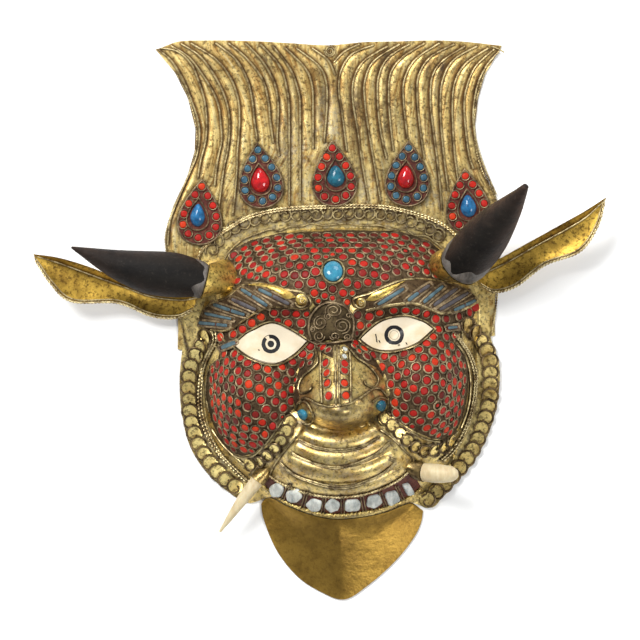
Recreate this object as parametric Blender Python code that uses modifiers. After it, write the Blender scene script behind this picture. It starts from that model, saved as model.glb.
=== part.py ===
"""Horned cham mask of hammered gilt sheet, lying on its back with its face up.

Metres, +Z up towards the viewer, +Y towards the top of the head, +X to the viewer's right. The carving is a
free form: its places and heights are given in shares of the face's width, so that one share is 1 mm at the real
size. Sheets, gaps, stones and fits are sizes of their own. Left and right are the viewer's.
"""

import math

import bmesh
import bpy
from mathutils import Vector

# Driving dimensions, in metres.
FACE_WIDTH = 0.211
FACE_SHEET = 0.0012
CROWN_SHEET = 0.0012
CHIN_SHEET = 0.0012
EAR_SHEET = 0.0012
SEAT_GAP = 0.0003
SEAT_BITE = 0.0015
CLEARANCE_DEPTH = 0.010
LAP_GAP = 0.0005
LOCK_HEIGHT = 0.0018
EYE_THICKNESS = 0.0024
BROW_THICKNESS = 0.0026
MEDALLION_THICKNESS = 0.0022
STONE_RADIUS = 0.0064
STONE_HEIGHT = 0.0032
COLLAR_WIDTH = 0.0016
COLLAR_HEIGHT = 0.0018
DROP_WIDTH = 0.031
DROP_LENGTH = 0.043
DROP_THICKNESS = 0.0014
GEM_WIDTH = 0.0100
GEM_LENGTH = 0.0128
GEM_HEIGHT = 0.0050
TOOTH_SIZE = 0.0092
TOOTH_THICKNESS = 0.0030
TOOTH_SQUARENESS = 3.2
NOSTRIL_STONE_WIDTH = 0.0052
NOSTRIL_STONE_LENGTH = 0.0074
NOSTRIL_STONE_THICKNESS = 0.0024

# One share of the face's width: 1 mm at the real size.
SHARE = FACE_WIDTH / 211.0

# Mesh steps.
FACE_SECTORS = 54
FACE_RINGS = (0.11, 0.22, 0.32, 0.41, 0.49, 0.56, 0.63, 0.7, 0.77, 0.835, 0.89, 0.945, 1.0)
RIM_RINGS = (0.34, 0.67, 1.0)
ROUND_SIDES = 12
FANG_SIDES = 10

# The face's plan, in shares from the point between the eyes' outer corners. Rays run from the nose.
NOSE_ROOT = (0.0, -34.3)
RIM_OUTLINE = (
    (-2, 76), (-38, 74), (-65, 67), (-88, 51), (-98, 30), (-102, 7), (-103, -17), (-105, -43), (-103, -65),
    (-98, -84), (-88, -100), (-74, -113), (-59, -121.5), (-45, -117.5), (-35, -122), (-25, -126), (-5, -131),
    (16, -130), (31, -127), (48, -121), (62, -124.5), (69, -118), (80, -106), (90, -94), (100, -75),
    (106, -53), (107, -30), (101, -10), (100, 13), (93, 38), (77, 59), (54, 71), (28, 76),
)
DOME_OUTLINE = (
    (0, 61), (-35, 58), (-61, 48), (-78, 33), (-88, 14), (-92, -3), (-90, -20), (-89, -43), (-87, -65),
    (-81, -82), (-70, -98), (-57, -110), (-45, -122), (-32, -137), (-15, -148), (0, -152), (18, -148),
    (34, -137), (47, -124), (59, -113), (71, -101), (80, -84), (87, -66), (91, -45), (92, -20), (93, -4),
    (92, 12), (84, 29), (68, 46), (38, 58),
)
MOUTH_BAND = 12.0

# Swellings of the hammered face: centre, half widths (left, right, up, down), height and edge exponent.
SWELLINGS = (
    ((-1, 32), (80, 80, 32, 34), 8.5, 2.0),
    ((-50, 13), (48, 44, 17, 15), 6.0, 2.0),
    ((52, 15), (44, 48, 17, 15), 6.0, 2.0),
    ((-43, -15), (32, 30, 19, 19), -5.0, 2.0),
    ((39, -9), (30, 32, 19, 19), -5.0, 2.0),
    ((-59, -51), (35, 39, 45, 42), 18.0, 1.5),
    ((61, -45), (38, 34, 45, 45), 18.0, 1.5),
    ((-1, -8), (17, 17, 28, 42), 9.0, 2.0),
    ((1.5, -51), (31, 31, 38, 21), 26.0, 0.85),
    ((1, -59), (24, 24, 26, 13), 9.0, 1.1),
    ((-20, -58), (12, 12, 14, 11), 4.0, 1.3),
    ((23, -53), (12, 12, 14, 11), 4.0, 1.3),
    ((1, -87), (54, 54, 32, 37), 17.0, 1.0),
)
DOME_RISE = 34.0
DOME_SHOULDER = 0.5
DOME_EXPONENT = 2.2
DOME_EDGE = 0.12

# The rim climbs onto the crown plate from this height of the plan, over this length.
RIM_CLIMB_START = -62.0
RIM_CLIMB_LENGTH = 26.0

# The muzzle's folds are arcs about the nose root, between these radii and these bearings in degrees.
FOLD_RADII = (40.0, 50.8, 62.0, 73.3, 82.0)
FOLD_HEIGHT = 2.2
FOLD_BEARINGS = (236.5, 308.0)
FOLD_FADE = 4.0


def hermite(p0, p1, p2, p3, t):
    """Catmull-Rom value between p1 and p2."""
    line = 2 * p1 + (p2 - p0) * t
    return 0.5 * (line + (2 * p0 - 5 * p1 + 4 * p2 - p3) * t**2 + (3 * p1 - p0 - 3 * p2 + p3) * t**3)


def clamp(value, low=0.0, high=1.0):
    return max(low, min(high, value))


def smooth_step(t):
    t = clamp(t)
    return t * t * (3 - 2 * t)


def mix(a, b, t):
    return a + (b - a) * t


def spline_point(points, u):
    """Point at share u of an open smooth curve through points."""
    spans = len(points) - 1
    place = clamp(u) * spans
    i = min(int(place), spans - 1)
    near = [points[clamp(k, 0, spans)] for k in (i - 1, i, i + 1, i + 2)]
    return tuple(hermite(*axis, place - i) for axis in zip(*near))


class Outline:
    """A closed outline seen from the nose root: its radius at each bearing."""

    def __init__(self, points):
        rays = []
        for x, y in points:
            dx, dy = x - NOSE_ROOT[0], y - NOSE_ROOT[1]
            rays.append((math.atan2(dy, dx) % math.tau, math.hypot(dx, dy)))
        self.rays = sorted(rays)

    def radius(self, bearing):
        bearing %= math.tau
        rays = self.rays
        count = len(rays)
        i = sum(1 for angle, _ in rays if angle <= bearing) - 1
        start = rays[i][0] if i >= 0 else rays[-1][0] - math.tau
        end = rays[(i + 1) % count][0]
        if i == count - 1:
            end += math.tau
        near = [rays[(i + k) % count][1] for k in (-1, 0, 1, 2)]
        return hermite(*near, (bearing - start) / (end - start))


RIM = Outline(RIM_OUTLINE)
DOME = Outline(DOME_OUTLINE)


def swelling(x, y, centre, half_widths, height, exponent):
    left, right, up, down = half_widths
    dx, dy = x - centre[0], y - centre[1]
    across = dx / (right if dx > 0 else left)
    along = dy / (up if dy > 0 else down)
    return height * clamp(1 - across**2 - along**2) ** exponent


def folds(x, y):
    """Rolls of the muzzle, each a low arch between two arcs about the nose root."""
    dx, dy = x - NOSE_ROOT[0], y - NOSE_ROOT[1]
    radius = math.hypot(dx, dy)
    bearing = math.degrees(math.atan2(dy, dx)) % 360
    inside = min(bearing - FOLD_BEARINGS[0], FOLD_BEARINGS[1] - bearing) / FOLD_FADE
    for low, high in zip(FOLD_RADII, FOLD_RADII[1:]):
        if low < radius < high:
            place = (radius - low) / (high - low)
            return FOLD_HEIGHT * 4 * place * (1 - place) * smooth_step(inside)
    return 0.0


def relief(x, y):
    """Height of the hammered face above its rim, all in shares."""
    dx, dy = x - NOSE_ROOT[0], y - NOSE_ROOT[1]
    reach = math.hypot(dx, dy) / DOME.radius(math.atan2(dy, dx))
    shoulder = clamp((1 - reach) / DOME_SHOULDER)
    height = DOME_RISE * (1 - (1 - shoulder) ** DOME_EXPONENT)
    inside = smooth_step((1 - reach) / DOME_EDGE)
    height += inside * sum(swelling(x, y, *row) for row in SWELLINGS)
    return height + folds(x, y)


def rim_level(y):
    """Top of the face's flat rim: over the crown plate above, down on the table below, in metres."""
    over_crown = smooth_step((y / SHARE - RIM_CLIMB_START) / RIM_CLIMB_LENGTH)
    return FACE_SHEET + (CROWN_SHEET + SEAT_GAP) * over_crown


def face_top(x, y):
    """Outer surface of the face plate, in metres."""
    return rim_level(y) + relief(x / SHARE, y / SHARE) * SHARE


def above_face(x, y, height):
    """Point a height off the face's outer surface, square to it."""
    step = 0.5 * SHARE
    slope_x = (face_top(x + step, y) - face_top(x - step, y)) / (2 * step)
    slope_y = (face_top(x, y + step) - face_top(x, y - step)) / (2 * step)
    return Vector((x, y, face_top(x, y))) + Vector((-slope_x, -slope_y, 1)).normalized() * height


def shares(points):
    return [tuple(value * SHARE for value in point) for point in points]


def material(name, colour, roughness, metallic):
    made = bpy.data.materials.get(name) or bpy.data.materials.new(name)
    made.use_nodes = True
    shader = made.node_tree.nodes["Principled BSDF"]
    shader.inputs["Base Color"].default_value = (*colour, 1)
    shader.inputs["Roughness"].default_value = roughness
    shader.inputs["Metallic"].default_value = metallic
    return made


def gilt():
    return material("gilt_sheet", (0.55, 0.40, 0.13), 0.35, 1.0)


def aged_brass():
    return material("aged_brass", (0.42, 0.34, 0.17), 0.45, 1.0)


def chin_gold():
    return material("chin_gold", (0.42, 0.29, 0.06), 0.38, 1.0)


def horn_black():
    return material("horn", (0.018, 0.015, 0.013), 0.4, 0.0)


def bone():
    return material("bone", (0.82, 0.75, 0.6), 0.5, 0.0)


def shell():
    return material("shell", (0.6, 0.68, 0.7), 0.3, 0.0)


def turquoise():
    return material("turquoise", (0.06, 0.35, 0.5), 0.3, 0.0)


def red_glass():
    return material("red_glass", (0.6, 0.01, 0.01), 0.12, 0.0)


def finish(name, mesh, look):
    """Makes the object of one piece, with its look, smooth but for its sharp edges."""
    mesh.materials.append(look)
    mesh.shade_smooth()
    mesh.set_sharp_from_angle(angle=math.radians(40))
    piece = bpy.data.objects.new(name, mesh)
    MASK.objects.link(piece)
    piece.parent = ORIGIN
    return piece


def mesh_of(name, form):
    bmesh.ops.remove_doubles(form, verts=form.verts, dist=0.00001)
    bmesh.ops.recalc_face_normals(form, faces=form.faces)
    mesh = bpy.data.meshes.new(name)
    form.to_mesh(mesh)
    form.free()
    return mesh


def bridge(form, ring_a, ring_b, closed=True):
    """Faces between two rows of as many vertices."""
    count = len(ring_a)
    for i in range(count if closed else count - 1):
        j = (i + 1) % count
        corners = [ring_a[i], ring_a[j], ring_b[j], ring_b[i]]
        form.faces.new(corners)


def loft(form, rings, start=None, end=None):
    """Closed rings of points joined in turn, with a fan to a start and an end point."""
    rows = [[form.verts.new(point) for point in ring] for ring in rings]
    for row, following in zip(rows, rows[1:]):
        bridge(form, row, following)
    for pole, row in ((start, rows[0]), (end, rows[-1])):
        if pole is not None:
            tip = form.verts.new(pole)
            for i in range(len(row)):
                form.faces.new([tip, row[i], row[(i + 1) % len(row)]])


def solid_sheet(name, rows, thickness, look):
    """An open grid of points, thickened on its under side."""
    form = bmesh.new()
    made = [[form.verts.new(point) for point in row] for row in rows]
    for row, following in zip(made, made[1:]):
        bridge(form, row, following, closed=False)
    mesh = mesh_of(name, form)
    if sum(face.normal.z for face in mesh.polygons) < 0:
        mesh.flip_normals()
    piece = finish(name, mesh, look)
    thicken(piece, thickness)
    return piece


def thicken(piece, thickness):
    wall = piece.modifiers.new("Wall", "SOLIDIFY")
    wall.thickness = thickness
    wall.offset = -1


def seat_on_face(piece):
    """Cuts the piece's under side to the sheet it lies on, a seat's gap above it."""
    cut = piece.modifiers.new("Seat", "BOOLEAN")
    cut.operation = "DIFFERENCE"
    cut.object = bpy.data.objects["face_clearance"]


def scribed_round(name, centre, outline, profile, look, under=(0.5, 1.0)):
    """A piece seated on the face: its under side follows the sheet, its top rises by share and height."""

    def point(place, share, height):
        x = centre[0] + place[0] * share
        y = centre[1] + place[1] * share
        return above_face(x, y, SEAT_GAP + height)

    form = bmesh.new()
    rings = [[point(place, share, -SEAT_BITE) for place in outline] for share in under]
    rings += [[point(place, share, height) for place in outline] for share, height in profile]
    loft(form, rings, point((0, 0), 0, -SEAT_BITE), point((0, 0), 0, profile[-1][1]))
    piece = finish(name, mesh_of(name, form), look)
    seat_on_face(piece)
    return piece


def scribed_strip(name, upper, lower, thickness, look, columns=12, rows=3, crown=0.25):
    """A plate between two edges that meet at its ends, seated on the face and slightly domed."""
    def point(u, v, height):
        x, y = (mix(a, b, v) for a, b in zip(spline_point(upper, u), spline_point(lower, u)))
        return above_face(x, y, SEAT_GAP + height)

    form = bmesh.new()
    top, under = [], []
    for i in range(columns + 1):
        u = i / columns
        swell = crown * 4 * clamp(4 * u * (1 - u))
        arch = [thickness * (1 - crown + swell * (j / rows) * (1 - j / rows)) for j in range(rows + 1)]
        top.append([form.verts.new(point(u, j / rows, arch[j])) for j in range(rows + 1)])
        under.append([form.verts.new(point(u, j / rows, -SEAT_BITE)) for j in range(rows + 1)])
    for grid in (top, under):
        for row, following in zip(grid, grid[1:]):
            bridge(form, row, following, closed=False)
    for side in (0, -1):
        bridge(form, [row[side] for row in top], [row[side] for row in under], closed=False)
        bridge(form, top[side], under[side], closed=False)
    piece = finish(name, mesh_of(name, form), look)
    seat_on_face(piece)
    return piece


def circle(radius_x, radius_y=None, sides=ROUND_SIDES, turn=0.0):
    radius_y = radius_y or radius_x
    ring = []
    for i in range(sides):
        angle = math.tau * i / sides
        x, y = radius_x * math.cos(angle), radius_y * math.sin(angle)
        ring.append((x * math.cos(turn) - y * math.sin(turn), x * math.sin(turn) + y * math.cos(turn)))
    return ring


def tapered(name, centres, radii, look, sides):
    """A horn or fang: round sections along a curve, with a flat butt and a blunt tip."""
    form = bmesh.new()
    rings = []
    for i, centre in enumerate(centres):
        before = Vector(centres[max(i - 1, 0)])
        after = Vector(centres[min(i + 1, len(centres) - 1)])
        along = (after - before).normalized()
        side = along.cross(Vector((0, 0, 1))).normalized()
        up = side.cross(along)
        spots = circle(radii[i], sides=sides)
        rings.append([Vector(centre) + side * a + up * b for a, b in spots])
    loft(form, rings, centres[0], Vector(centres[-1]) + along * radii[-1] * 0.5)
    return finish(name, mesh_of(name, form), look)


def face_grid(lift):
    """The face's outer surface, raised square to itself: rings round the nose root, then the flat rim."""
    form = bmesh.new()
    root = Vector(NOSE_ROOT) * SHARE
    tip = form.verts.new(above_face(*root, lift))
    rows = []
    for inner_share, rim_share in [(ring, 0.0) for ring in FACE_RINGS] + [(1.0, ring) for ring in RIM_RINGS]:
        row = []
        for sector in range(FACE_SECTORS):
            bearing = math.tau * sector / FACE_SECTORS
            edge = RIM.radius(bearing)
            inner = min(DOME.radius(bearing), edge - MOUTH_BAND)
            radius = mix(inner * inner_share, edge, rim_share)
            spot = root + Vector((math.cos(bearing), math.sin(bearing))) * radius * SHARE
            row.append(form.verts.new(above_face(*spot, lift)))
        rows.append(row)
    for i in range(FACE_SECTORS):
        form.faces.new([tip, rows[0][i], rows[0][(i + 1) % FACE_SECTORS]])
    for row, following in zip(rows, rows[1:]):
        bridge(form, row, following)
    bmesh.ops.triangulate(form, faces=form.faces, quad_method="FIXED")
    return form, rows[-1]


def face():
    """The hammered face, an open-backed shell, and the block that cuts a seat's gap into what lies on it."""
    form, _ = face_grid(0.0)
    mesh = mesh_of("face", form)
    if sum(polygon.normal.z for polygon in mesh.polygons) < 0:
        mesh.flip_normals()
    thicken(finish("face", mesh, aged_brass()), FACE_SHEET)
    form, rim = face_grid(SEAT_GAP)
    skirt = [form.verts.new((*vertex.co.xy, -CLEARANCE_DEPTH)) for vertex in rim]
    bridge(form, rim, skirt)
    form.faces.new(skirt)
    clearance = bpy.data.objects.new("face_clearance", mesh_of("face_clearance", form))
    CUTTERS.objects.link(clearance)
    clearance.hide_render = True
    clearance.display_type = "WIRE"
    clearance.parent = ORIGIN


# The crown plate's sides, from the top corner down to the tip of the wing beside the face.
CROWN_LEFT = (
    (-121, 179.5), (-108, 164), (-99.5, 147), (-94.5, 127), (-95, 112), (-100, 95), (-109, 76), (-114.5, 58),
    (-114.5, 47), (-111, 23), (-105, 0), (-100, -21),
)
CROWN_RIGHT = (
    (108.5, 181), (98, 164), (93, 147), (91, 129), (93, 111), (98, 95), (105, 82), (107, 66), (107, 47),
    (106.5, 20), (103.5, -5), (101, -12),
)
CROWN_TOP = (179.5, 184.6, 185.4, 185.4, 184.8, 183.5, 182.2, 184.3, 184.8, 185.4, 185.0, 183.6, 182.0)
CROWN_ROWS = (0.0, 0.1, 0.21, 0.34, 0.5, 0.66, 0.83, 1.0)
CROWN_LAND = 3.0
LOCK_FOOT = 0.6
LOCKS = 26
LOCK_SWEEP = 0.038
LOCK_SWEEP_DEPTH = 75.0
WING_SHARE = 0.13
WING_BEARINGS = (172.0, 13.0)
TOP_BEARINGS = (133.0, 51.0)
CROWN_BITE = 13.0


def crown_bearing(u):
    """Bearing at which the lock at share u of the crown's width meets the face's rim."""
    if u < WING_SHARE:
        return mix(WING_BEARINGS[0], TOP_BEARINGS[0], u / WING_SHARE)
    if u > 1 - WING_SHARE:
        return mix(WING_BEARINGS[1], TOP_BEARINGS[1], (1 - u) / WING_SHARE)
    across = (u - WING_SHARE) / (1 - 2 * WING_SHARE)
    low, high = (1 / math.tan(math.radians(b)) for b in TOP_BEARINGS)
    return math.degrees(math.atan2(1, mix(low, high, across)))


def side_x(points, y):
    """Where a side of the crown is at height y."""
    for (x0, y0), (x1, y1) in zip(points, points[1:]):
        if y >= y1:
            return mix(x0, x1, clamp((y0 - y) / (y0 - y1)))
    return points[-1][0]


def crown_point(u, v):
    """A lock's course, from the fanned top edge (v = 0) to just outside the face's rim (v = 1)."""
    bearing = math.radians(crown_bearing(u))
    reach = RIM.radius(bearing) + CROWN_LAND
    foot_x, foot_y = NOSE_ROOT[0] + reach * math.cos(bearing), NOSE_ROOT[1] + reach * math.sin(bearing)
    top_y = spline_point([(height,) for height in CROWN_TOP], u)[0]
    y = mix(top_y, foot_y, v)
    fan = clamp(1 - (top_y - y) / LOCK_SWEEP_DEPTH) ** 2
    shifted = u - LOCK_SWEEP * math.sin(math.tau * u) * fan
    x = mix(side_x(CROWN_LEFT, y), side_x(CROWN_RIGHT, y), shifted)
    return mix(x, foot_x, smooth_step((v - LOCK_FOOT) / (1 - LOCK_FOOT))), y


def crown():
    """The hair plate: a flat sheet with raised locks, and the mask's opening cut from its foot."""
    columns = 2 * LOCKS
    root = Vector(NOSE_ROOT) * SHARE
    rows = []
    for v in CROWN_ROWS:
        row = []
        for column in range(columns + 1):
            spot = Vector(crown_point(column / columns, v)) * SHARE
            crest = LOCK_HEIGHT if column % 2 and v < 1.0 else 0.0
            row.append((*spot, CROWN_SHEET + crest))
        rows.append(row)
    hem = []
    for column in range(columns + 1):
        bearing = math.radians(crown_bearing(column / columns))
        radius = (RIM.radius(bearing) - CROWN_BITE) * SHARE
        hem.append((root.x + radius * math.cos(bearing), root.y + radius * math.sin(bearing), CROWN_SHEET))
    rows.append(hem)
    form = bmesh.new()
    top = [[form.verts.new(point) for point in row] for row in rows]
    for row, following in zip(top, top[1:]):
        bridge(form, row, following, closed=False)
    border = top[0] + [row[-1] for row in top[1:-1]] + top[-1][::-1] + [row[0] for row in top[-2:0:-1]]
    under = [form.verts.new((*vertex.co.xy, 0)) for vertex in border]
    bridge(form, border, under)
    form.faces.new(under)
    return finish("crown", mesh_of("crown", form), aged_brass())


# The chin sheet: it starts along the face's edge under the mouth, between these rays, and ends in a point.
CHIN_SECTORS = (36, 45)
CHIN_EDGE = ((-51, -122), (-49, -133), (-40.5, -153), (-27, -170), (-12, -180), (4, -185.5), (20, -176),
             (38, -160), (50, -145), (55, -135), (56.5, -126.5))
CHIN_ROWS = 6
CHIN_KEEL = 24.0
CHIN_FALL = 1.15
CHIN_ARCH = 0.4


def rim_spot(sector):
    """A corner of the face's faceted edge."""
    bearing = math.tau * sector / FACE_SECTORS
    spot = Vector(NOSE_ROOT) + Vector((math.cos(bearing), math.sin(bearing))) * RIM.radius(bearing)
    return spot * SHARE


def chin_plate():
    """A keeled leaf of sheet, butted and soldered under the mouth."""
    first, last = CHIN_SECTORS
    columns = 2 * (last - first)
    root = Vector(NOSE_ROOT) * SHARE
    rows = []
    for j in range(CHIN_ROWS + 1):
        v = j / CHIN_ROWS
        row = []
        for i in range(columns + 1):
            u = i / columns
            sector = first + i // 2
            edge = rim_spot(sector)
            if i % 2:
                edge = (edge + rim_spot(sector + 1)) / 2
            arch = face_top(*edge) - CHIN_SHEET
            edge = edge + (edge - root).normalized() * LAP_GAP
            tip = Vector(spline_point(CHIN_EDGE, u)) * SHARE
            spot = edge.lerp(tip, v)
            keel = CHIN_KEEL * (1 - abs(2 * u - 1)) * SHARE
            height = mix(arch, keel, smooth_step(v / CHIN_ARCH)) * (1 - v) ** CHIN_FALL + CHIN_SHEET
            row.append((*spot, height))
        rows.append(row)
    solid_sheet("chin_plate", rows, CHIN_SHEET, chin_gold())


# Ears: upper edge, crease and lower edge from tip to root, each point with its height above the table.
EARS = {
    "left": {
        "upper": ((-201, 43.5, 27), (-184, 41, 27), (-164, 35, 24), (-144, 27, 18), (-124, 19.5, 12),
                  (-104, 16, 9.5), (-92, 17, 5.2)),
        "crease": ((-200.5, 42, 24), (-184, 36, 20), (-164, 28, 16), (-144, 21, 12), (-124, 14, 8),
                   (-104, 12, 6), (-93, 14, 5.2)),
        "lower": ((-200, 39.5, 25), (-190, 24, 24), (-176, 12, 21), (-146, 11, 16), (-124, 2.5, 12),
                  (-108, 1, 8.5), (-97, 6, 5.2)),
    },
    "right": {
        "upper": ((177, 81, 27), (163, 72, 27), (148, 63.5, 24), (131, 54, 20), (113, 44, 14), (101, 37, 10),
                  (92, 30, 5.2)),
        "crease": ((177, 80, 24), (164, 66, 20), (148, 56, 16), (131, 47, 12.5), (114, 37, 8.5), (101, 31, 6),
                   (93, 27, 5.2)),
        "lower": ((176, 78, 25), (172, 62, 24), (160, 45, 21), (137, 36, 17), (118, 22, 12.5), (104, 18, 8.5),
                  (96, 22, 5.2)),
    },
}
EAR_COLUMNS = 11
EAR_STRIP = 2
EAR_FOLD = 3
EAR_HOLLOW = 0.12
EAR_FLATTENS = 0.75
EAR_SEATED = 0.84


def ear(side):
    """A leaf of sheet folded along a crease near its upper edge, its root soldered down on the rim."""
    edges = EARS[side]
    rows = []
    for i in range(EAR_COLUMNS + 1):
        u = i / EAR_COLUMNS
        upper, crease, lower = (spline_point(edges[key], u) for key in ("upper", "crease", "lower"))
        row = [tuple(mix(a, b, k / EAR_STRIP) for a, b in zip(upper, crease)) for k in range(EAR_STRIP)]
        for k in range(EAR_FOLD + 2):
            v = k / (EAR_FOLD + 1)
            x, y, z = (mix(a, b, v) for a, b in zip(crease, lower))
            hollow = 4 * v * (1 - v) * EAR_HOLLOW * math.dist(crease[:2], lower[:2])
            row.append((x, y, z - hollow * (1 - smooth_step((u - EAR_FLATTENS) / (1 - EAR_FLATTENS)))))
        seated = []
        for x, y, z in shares(row):
            floor = face_top(x, y) + SEAT_GAP + EAR_SHEET if u > EAR_SEATED else 0
            seated.append((x, y, max(z, floor)))
        rows.append(seated)
    solid_sheet(f"ear_{side}", rows, EAR_SHEET, gilt())


# Horns: centre line from butt to tip and radii, in shares; the sockets' seats on the face and mouths.
HORNS = {
    "left": {
        "line": ((-88, 25.5, 28), (-98, 28, 29), (-108, 29.6, 30.5), (-124, 31.3, 33), (-141, 35.3, 36.5),
                 (-154, 39.6, 40), (-167, 44.6, 44), (-175, 47.7, 47)),
        "radii": (11.0, 13.6, 14.8, 14.4, 11.2, 7.5, 3.4, 0.8),
        "seat": (-75, 29.5),
        "seat_size": (8.5, 11.0),
        "mouth_radius": 12.2,
    },
    "right": {
        "line": ((80, 35, 29), (85.5, 41, 35), (91, 47.5, 42), (98, 56, 52), (105, 64.5, 62.5),
                 (111.5, 72.5, 73), (117.5, 80.5, 84), (122, 87, 93)),
        "radii": (14.2, 15.6, 16.0, 15.0, 12.4, 9.0, 5.2, 2.2),
        "seat": (70, 37),
        "seat_size": (10.0, 10.0),
        "mouth_radius": 14.8,
    },
}
SOCKET_GAP = 0.0004
SOCKET_STEPS = 3
SOCKET_SWELL = 2.4
COLLET_STEPS = 2


def horn(side):
    row = HORNS[side]
    tapered(f"horn_{side}", shares(row["line"]), [r * SHARE for r in row["radii"]], horn_black(), ROUND_SIDES)


def ferrule(name, row, steps, lift):
    """A cup that rises from the sheet and turns out to hold a horn's or a fang's butt."""
    butt, inner = (Vector(p) * SHARE for p in row["line"][:2])
    along = (inner - butt).normalized()
    bearing = math.atan2(along.y, along.x)
    sideways = Vector((-math.sin(bearing), math.cos(bearing), 0))
    up = along.cross(sideways)
    if up.z < 0:
        up = -up
    mouth = butt - along * SOCKET_GAP
    radius = row["mouth_radius"] * SHARE
    seat = Vector(row["seat"]) * SHARE
    angles = [math.tau * i / ROUND_SIDES for i in range(ROUND_SIDES)]

    def rim_point(angle):
        turned = angle - bearing
        return mouth + (sideways * math.sin(turned) - up * math.cos(turned)) * radius

    def seat_point(angle, share):
        x = seat.x + row["seat_size"][0] * SHARE * math.cos(angle) * share
        y = seat.y + row["seat_size"][1] * SHARE * math.sin(angle) * share
        return above_face(x, y, -SEAT_BITE)

    form = bmesh.new()
    rings = [[seat_point(angle, share) for angle in angles] for share in (0.5, 1.0)]
    for step in range(1, steps + 1):
        t = step / steps
        rise = Vector((0, 0, lift * SHARE * math.sin(math.pi * t)))
        rings.append([seat_point(angle, 1.0).lerp(rim_point(angle), t) + rise for angle in angles])
    loft(form, rings, seat_point(0, 0), mouth)
    seat_on_face(finish(name, mesh_of(name, form), gilt()))


EYES = {
    "left": {
        "upper": ((-67, -17.2), (-58, -8.6), (-44, -2), (-31.5, -6.6), (-20.5, -13.9)),
        "lower": ((-67, -17.2), (-57, -25.3), (-42.5, -29), (-30, -23.1), (-20.5, -13.9)),
    },
    "right": {
        "upper": ((14.5, -12.5), (27.5, -1.5), (43, 2.6), (54, -0.7), (62, -6.6)),
        "lower": ((14.5, -12.5), (23.8, -18.8), (36.3, -20.5), (50.8, -16.5), (62, -6.6)),
    },
}
BROWS = {
    "left": {
        "upper": ((-91, -1), (-87.5, 6.6), (-81, 11.2), (-71, 15.2), (-61.5, 22), (-50, 23.2), (-35, 19.8),
                  (-25, 18.5), (-20, 15.8), (-17.8, 12)),
        "lower": ((-90.5, -3.5), (-82, -6.6), (-74.5, -7.3), (-68, -5.3), (-61.4, 0), (-52.8, 5.9),
                  (-43, 8.8), (-35, 9.2), (-25, 7.9), (-18.5, 10)),
    },
    "right": {
        "upper": ((11.2, 12), (13.2, 15.2), (21, 17.8), (31, 21.8), (44, 25.7), (60.7, 25.7), (77, 22.4),
                  (86, 18.5), (90, 14)),
        "lower": ((12, 9.5), (17.8, 6.6), (27.7, 9.2), (40.9, 11.2), (50.8, 11.2), (60.7, 7.3), (68, 4.6),
                  (78, 6), (89, 11)),
    },
}


def eye(side):
    edges = EYES[side]
    upper, lower = shares(edges["upper"]), shares(edges["lower"])
    scribed_strip(f"eye_{side}", upper, lower, EYE_THICKNESS, bone(), columns=8, crown=0.4)


def brow(side):
    edges = BROWS[side]
    upper, lower = shares(edges["upper"]), shares(edges["lower"])
    scribed_strip(f"brow_{side}", upper, lower, BROW_THICKNESS, aged_brass(), columns=14, rows=2)


MEDALLION_CENTRE = (-4.5, -1.5)
MEDALLION_SIZE = (13.6, 13.4)
MEDALLION_UPPER = (0.96, 1.0)
MEDALLION_LOWER = (1.06, 0.82)
FOREHEAD_STONE = (-3.3, 31.7)


def brow_medallion():
    """The filigree disc between the brows, flattened below."""
    outline = []
    for x, y in circle(*(size * SHARE for size in MEDALLION_SIZE), sides=16):
        stretch = MEDALLION_UPPER if y > 0 else MEDALLION_LOWER
        outline.append((x * stretch[0], y * stretch[1]))
    centre = [c * SHARE for c in MEDALLION_CENTRE]
    profile = ((1.0, MEDALLION_THICKNESS * 0.8), (0.85, MEDALLION_THICKNESS))
    scribed_round("brow_medallion", centre, outline, profile, aged_brass())


def forehead_stone():
    """The round turquoise and its collar."""
    centre = [c * SHARE for c in FOREHEAD_STONE]
    dome = [(math.cos(a), math.sin(a)) for a in (0.35, 0.75, 1.15)]
    profile = [(1.0, STONE_HEIGHT * 0.3)] + [(c, STONE_HEIGHT * (0.3 + 0.7 * s)) for c, s in dome]
    scribed_round("forehead_stone", centre, circle(STONE_RADIUS), profile, turquoise())
    inner = STONE_RADIUS + SEAT_GAP
    section = (
        (0.0, -SEAT_BITE), (1.0, -SEAT_BITE), (1.0, COLLAR_HEIGHT * 0.7), (0.5, COLLAR_HEIGHT),
        (0.0, COLLAR_HEIGHT * 0.8),
    )
    form = bmesh.new()
    rings = []
    for share, height in section:
        ring = []
        for x, y in circle(inner + COLLAR_WIDTH * share):
            x, y = x + centre[0], y + centre[1]
            ring.append(above_face(x, y, SEAT_GAP + height))
        rings.append(ring)
    loft(form, rings + rings[:1])
    seat_on_face(finish("forehead_collar", mesh_of("forehead_collar", form), aged_brass()))


# Crown drops: tip and foot of each teardrop plate, and whether its stone is red.
DROPS = (
    ((-90, 93), (-92.5, 50), (-93, 68.5), False),
    ((-53.5, 117.5), (-49.5, 74), (-51.5, 91.7), True),
    ((-4, 118), (-1.3, 76), (-1.3, 94.4), False),
    ((47, 119), (45.5, 75), (45, 93.7), True),
    ((84, 100), (88, 57), (86.5, 74.6), False),
)
DROP_POINTS = 16
DROP_POINTEDNESS = 1.1
DROP_FULLNESS = 0.62
GEM_SEGMENTS = 10
GEM_CUT = 0.02


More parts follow.
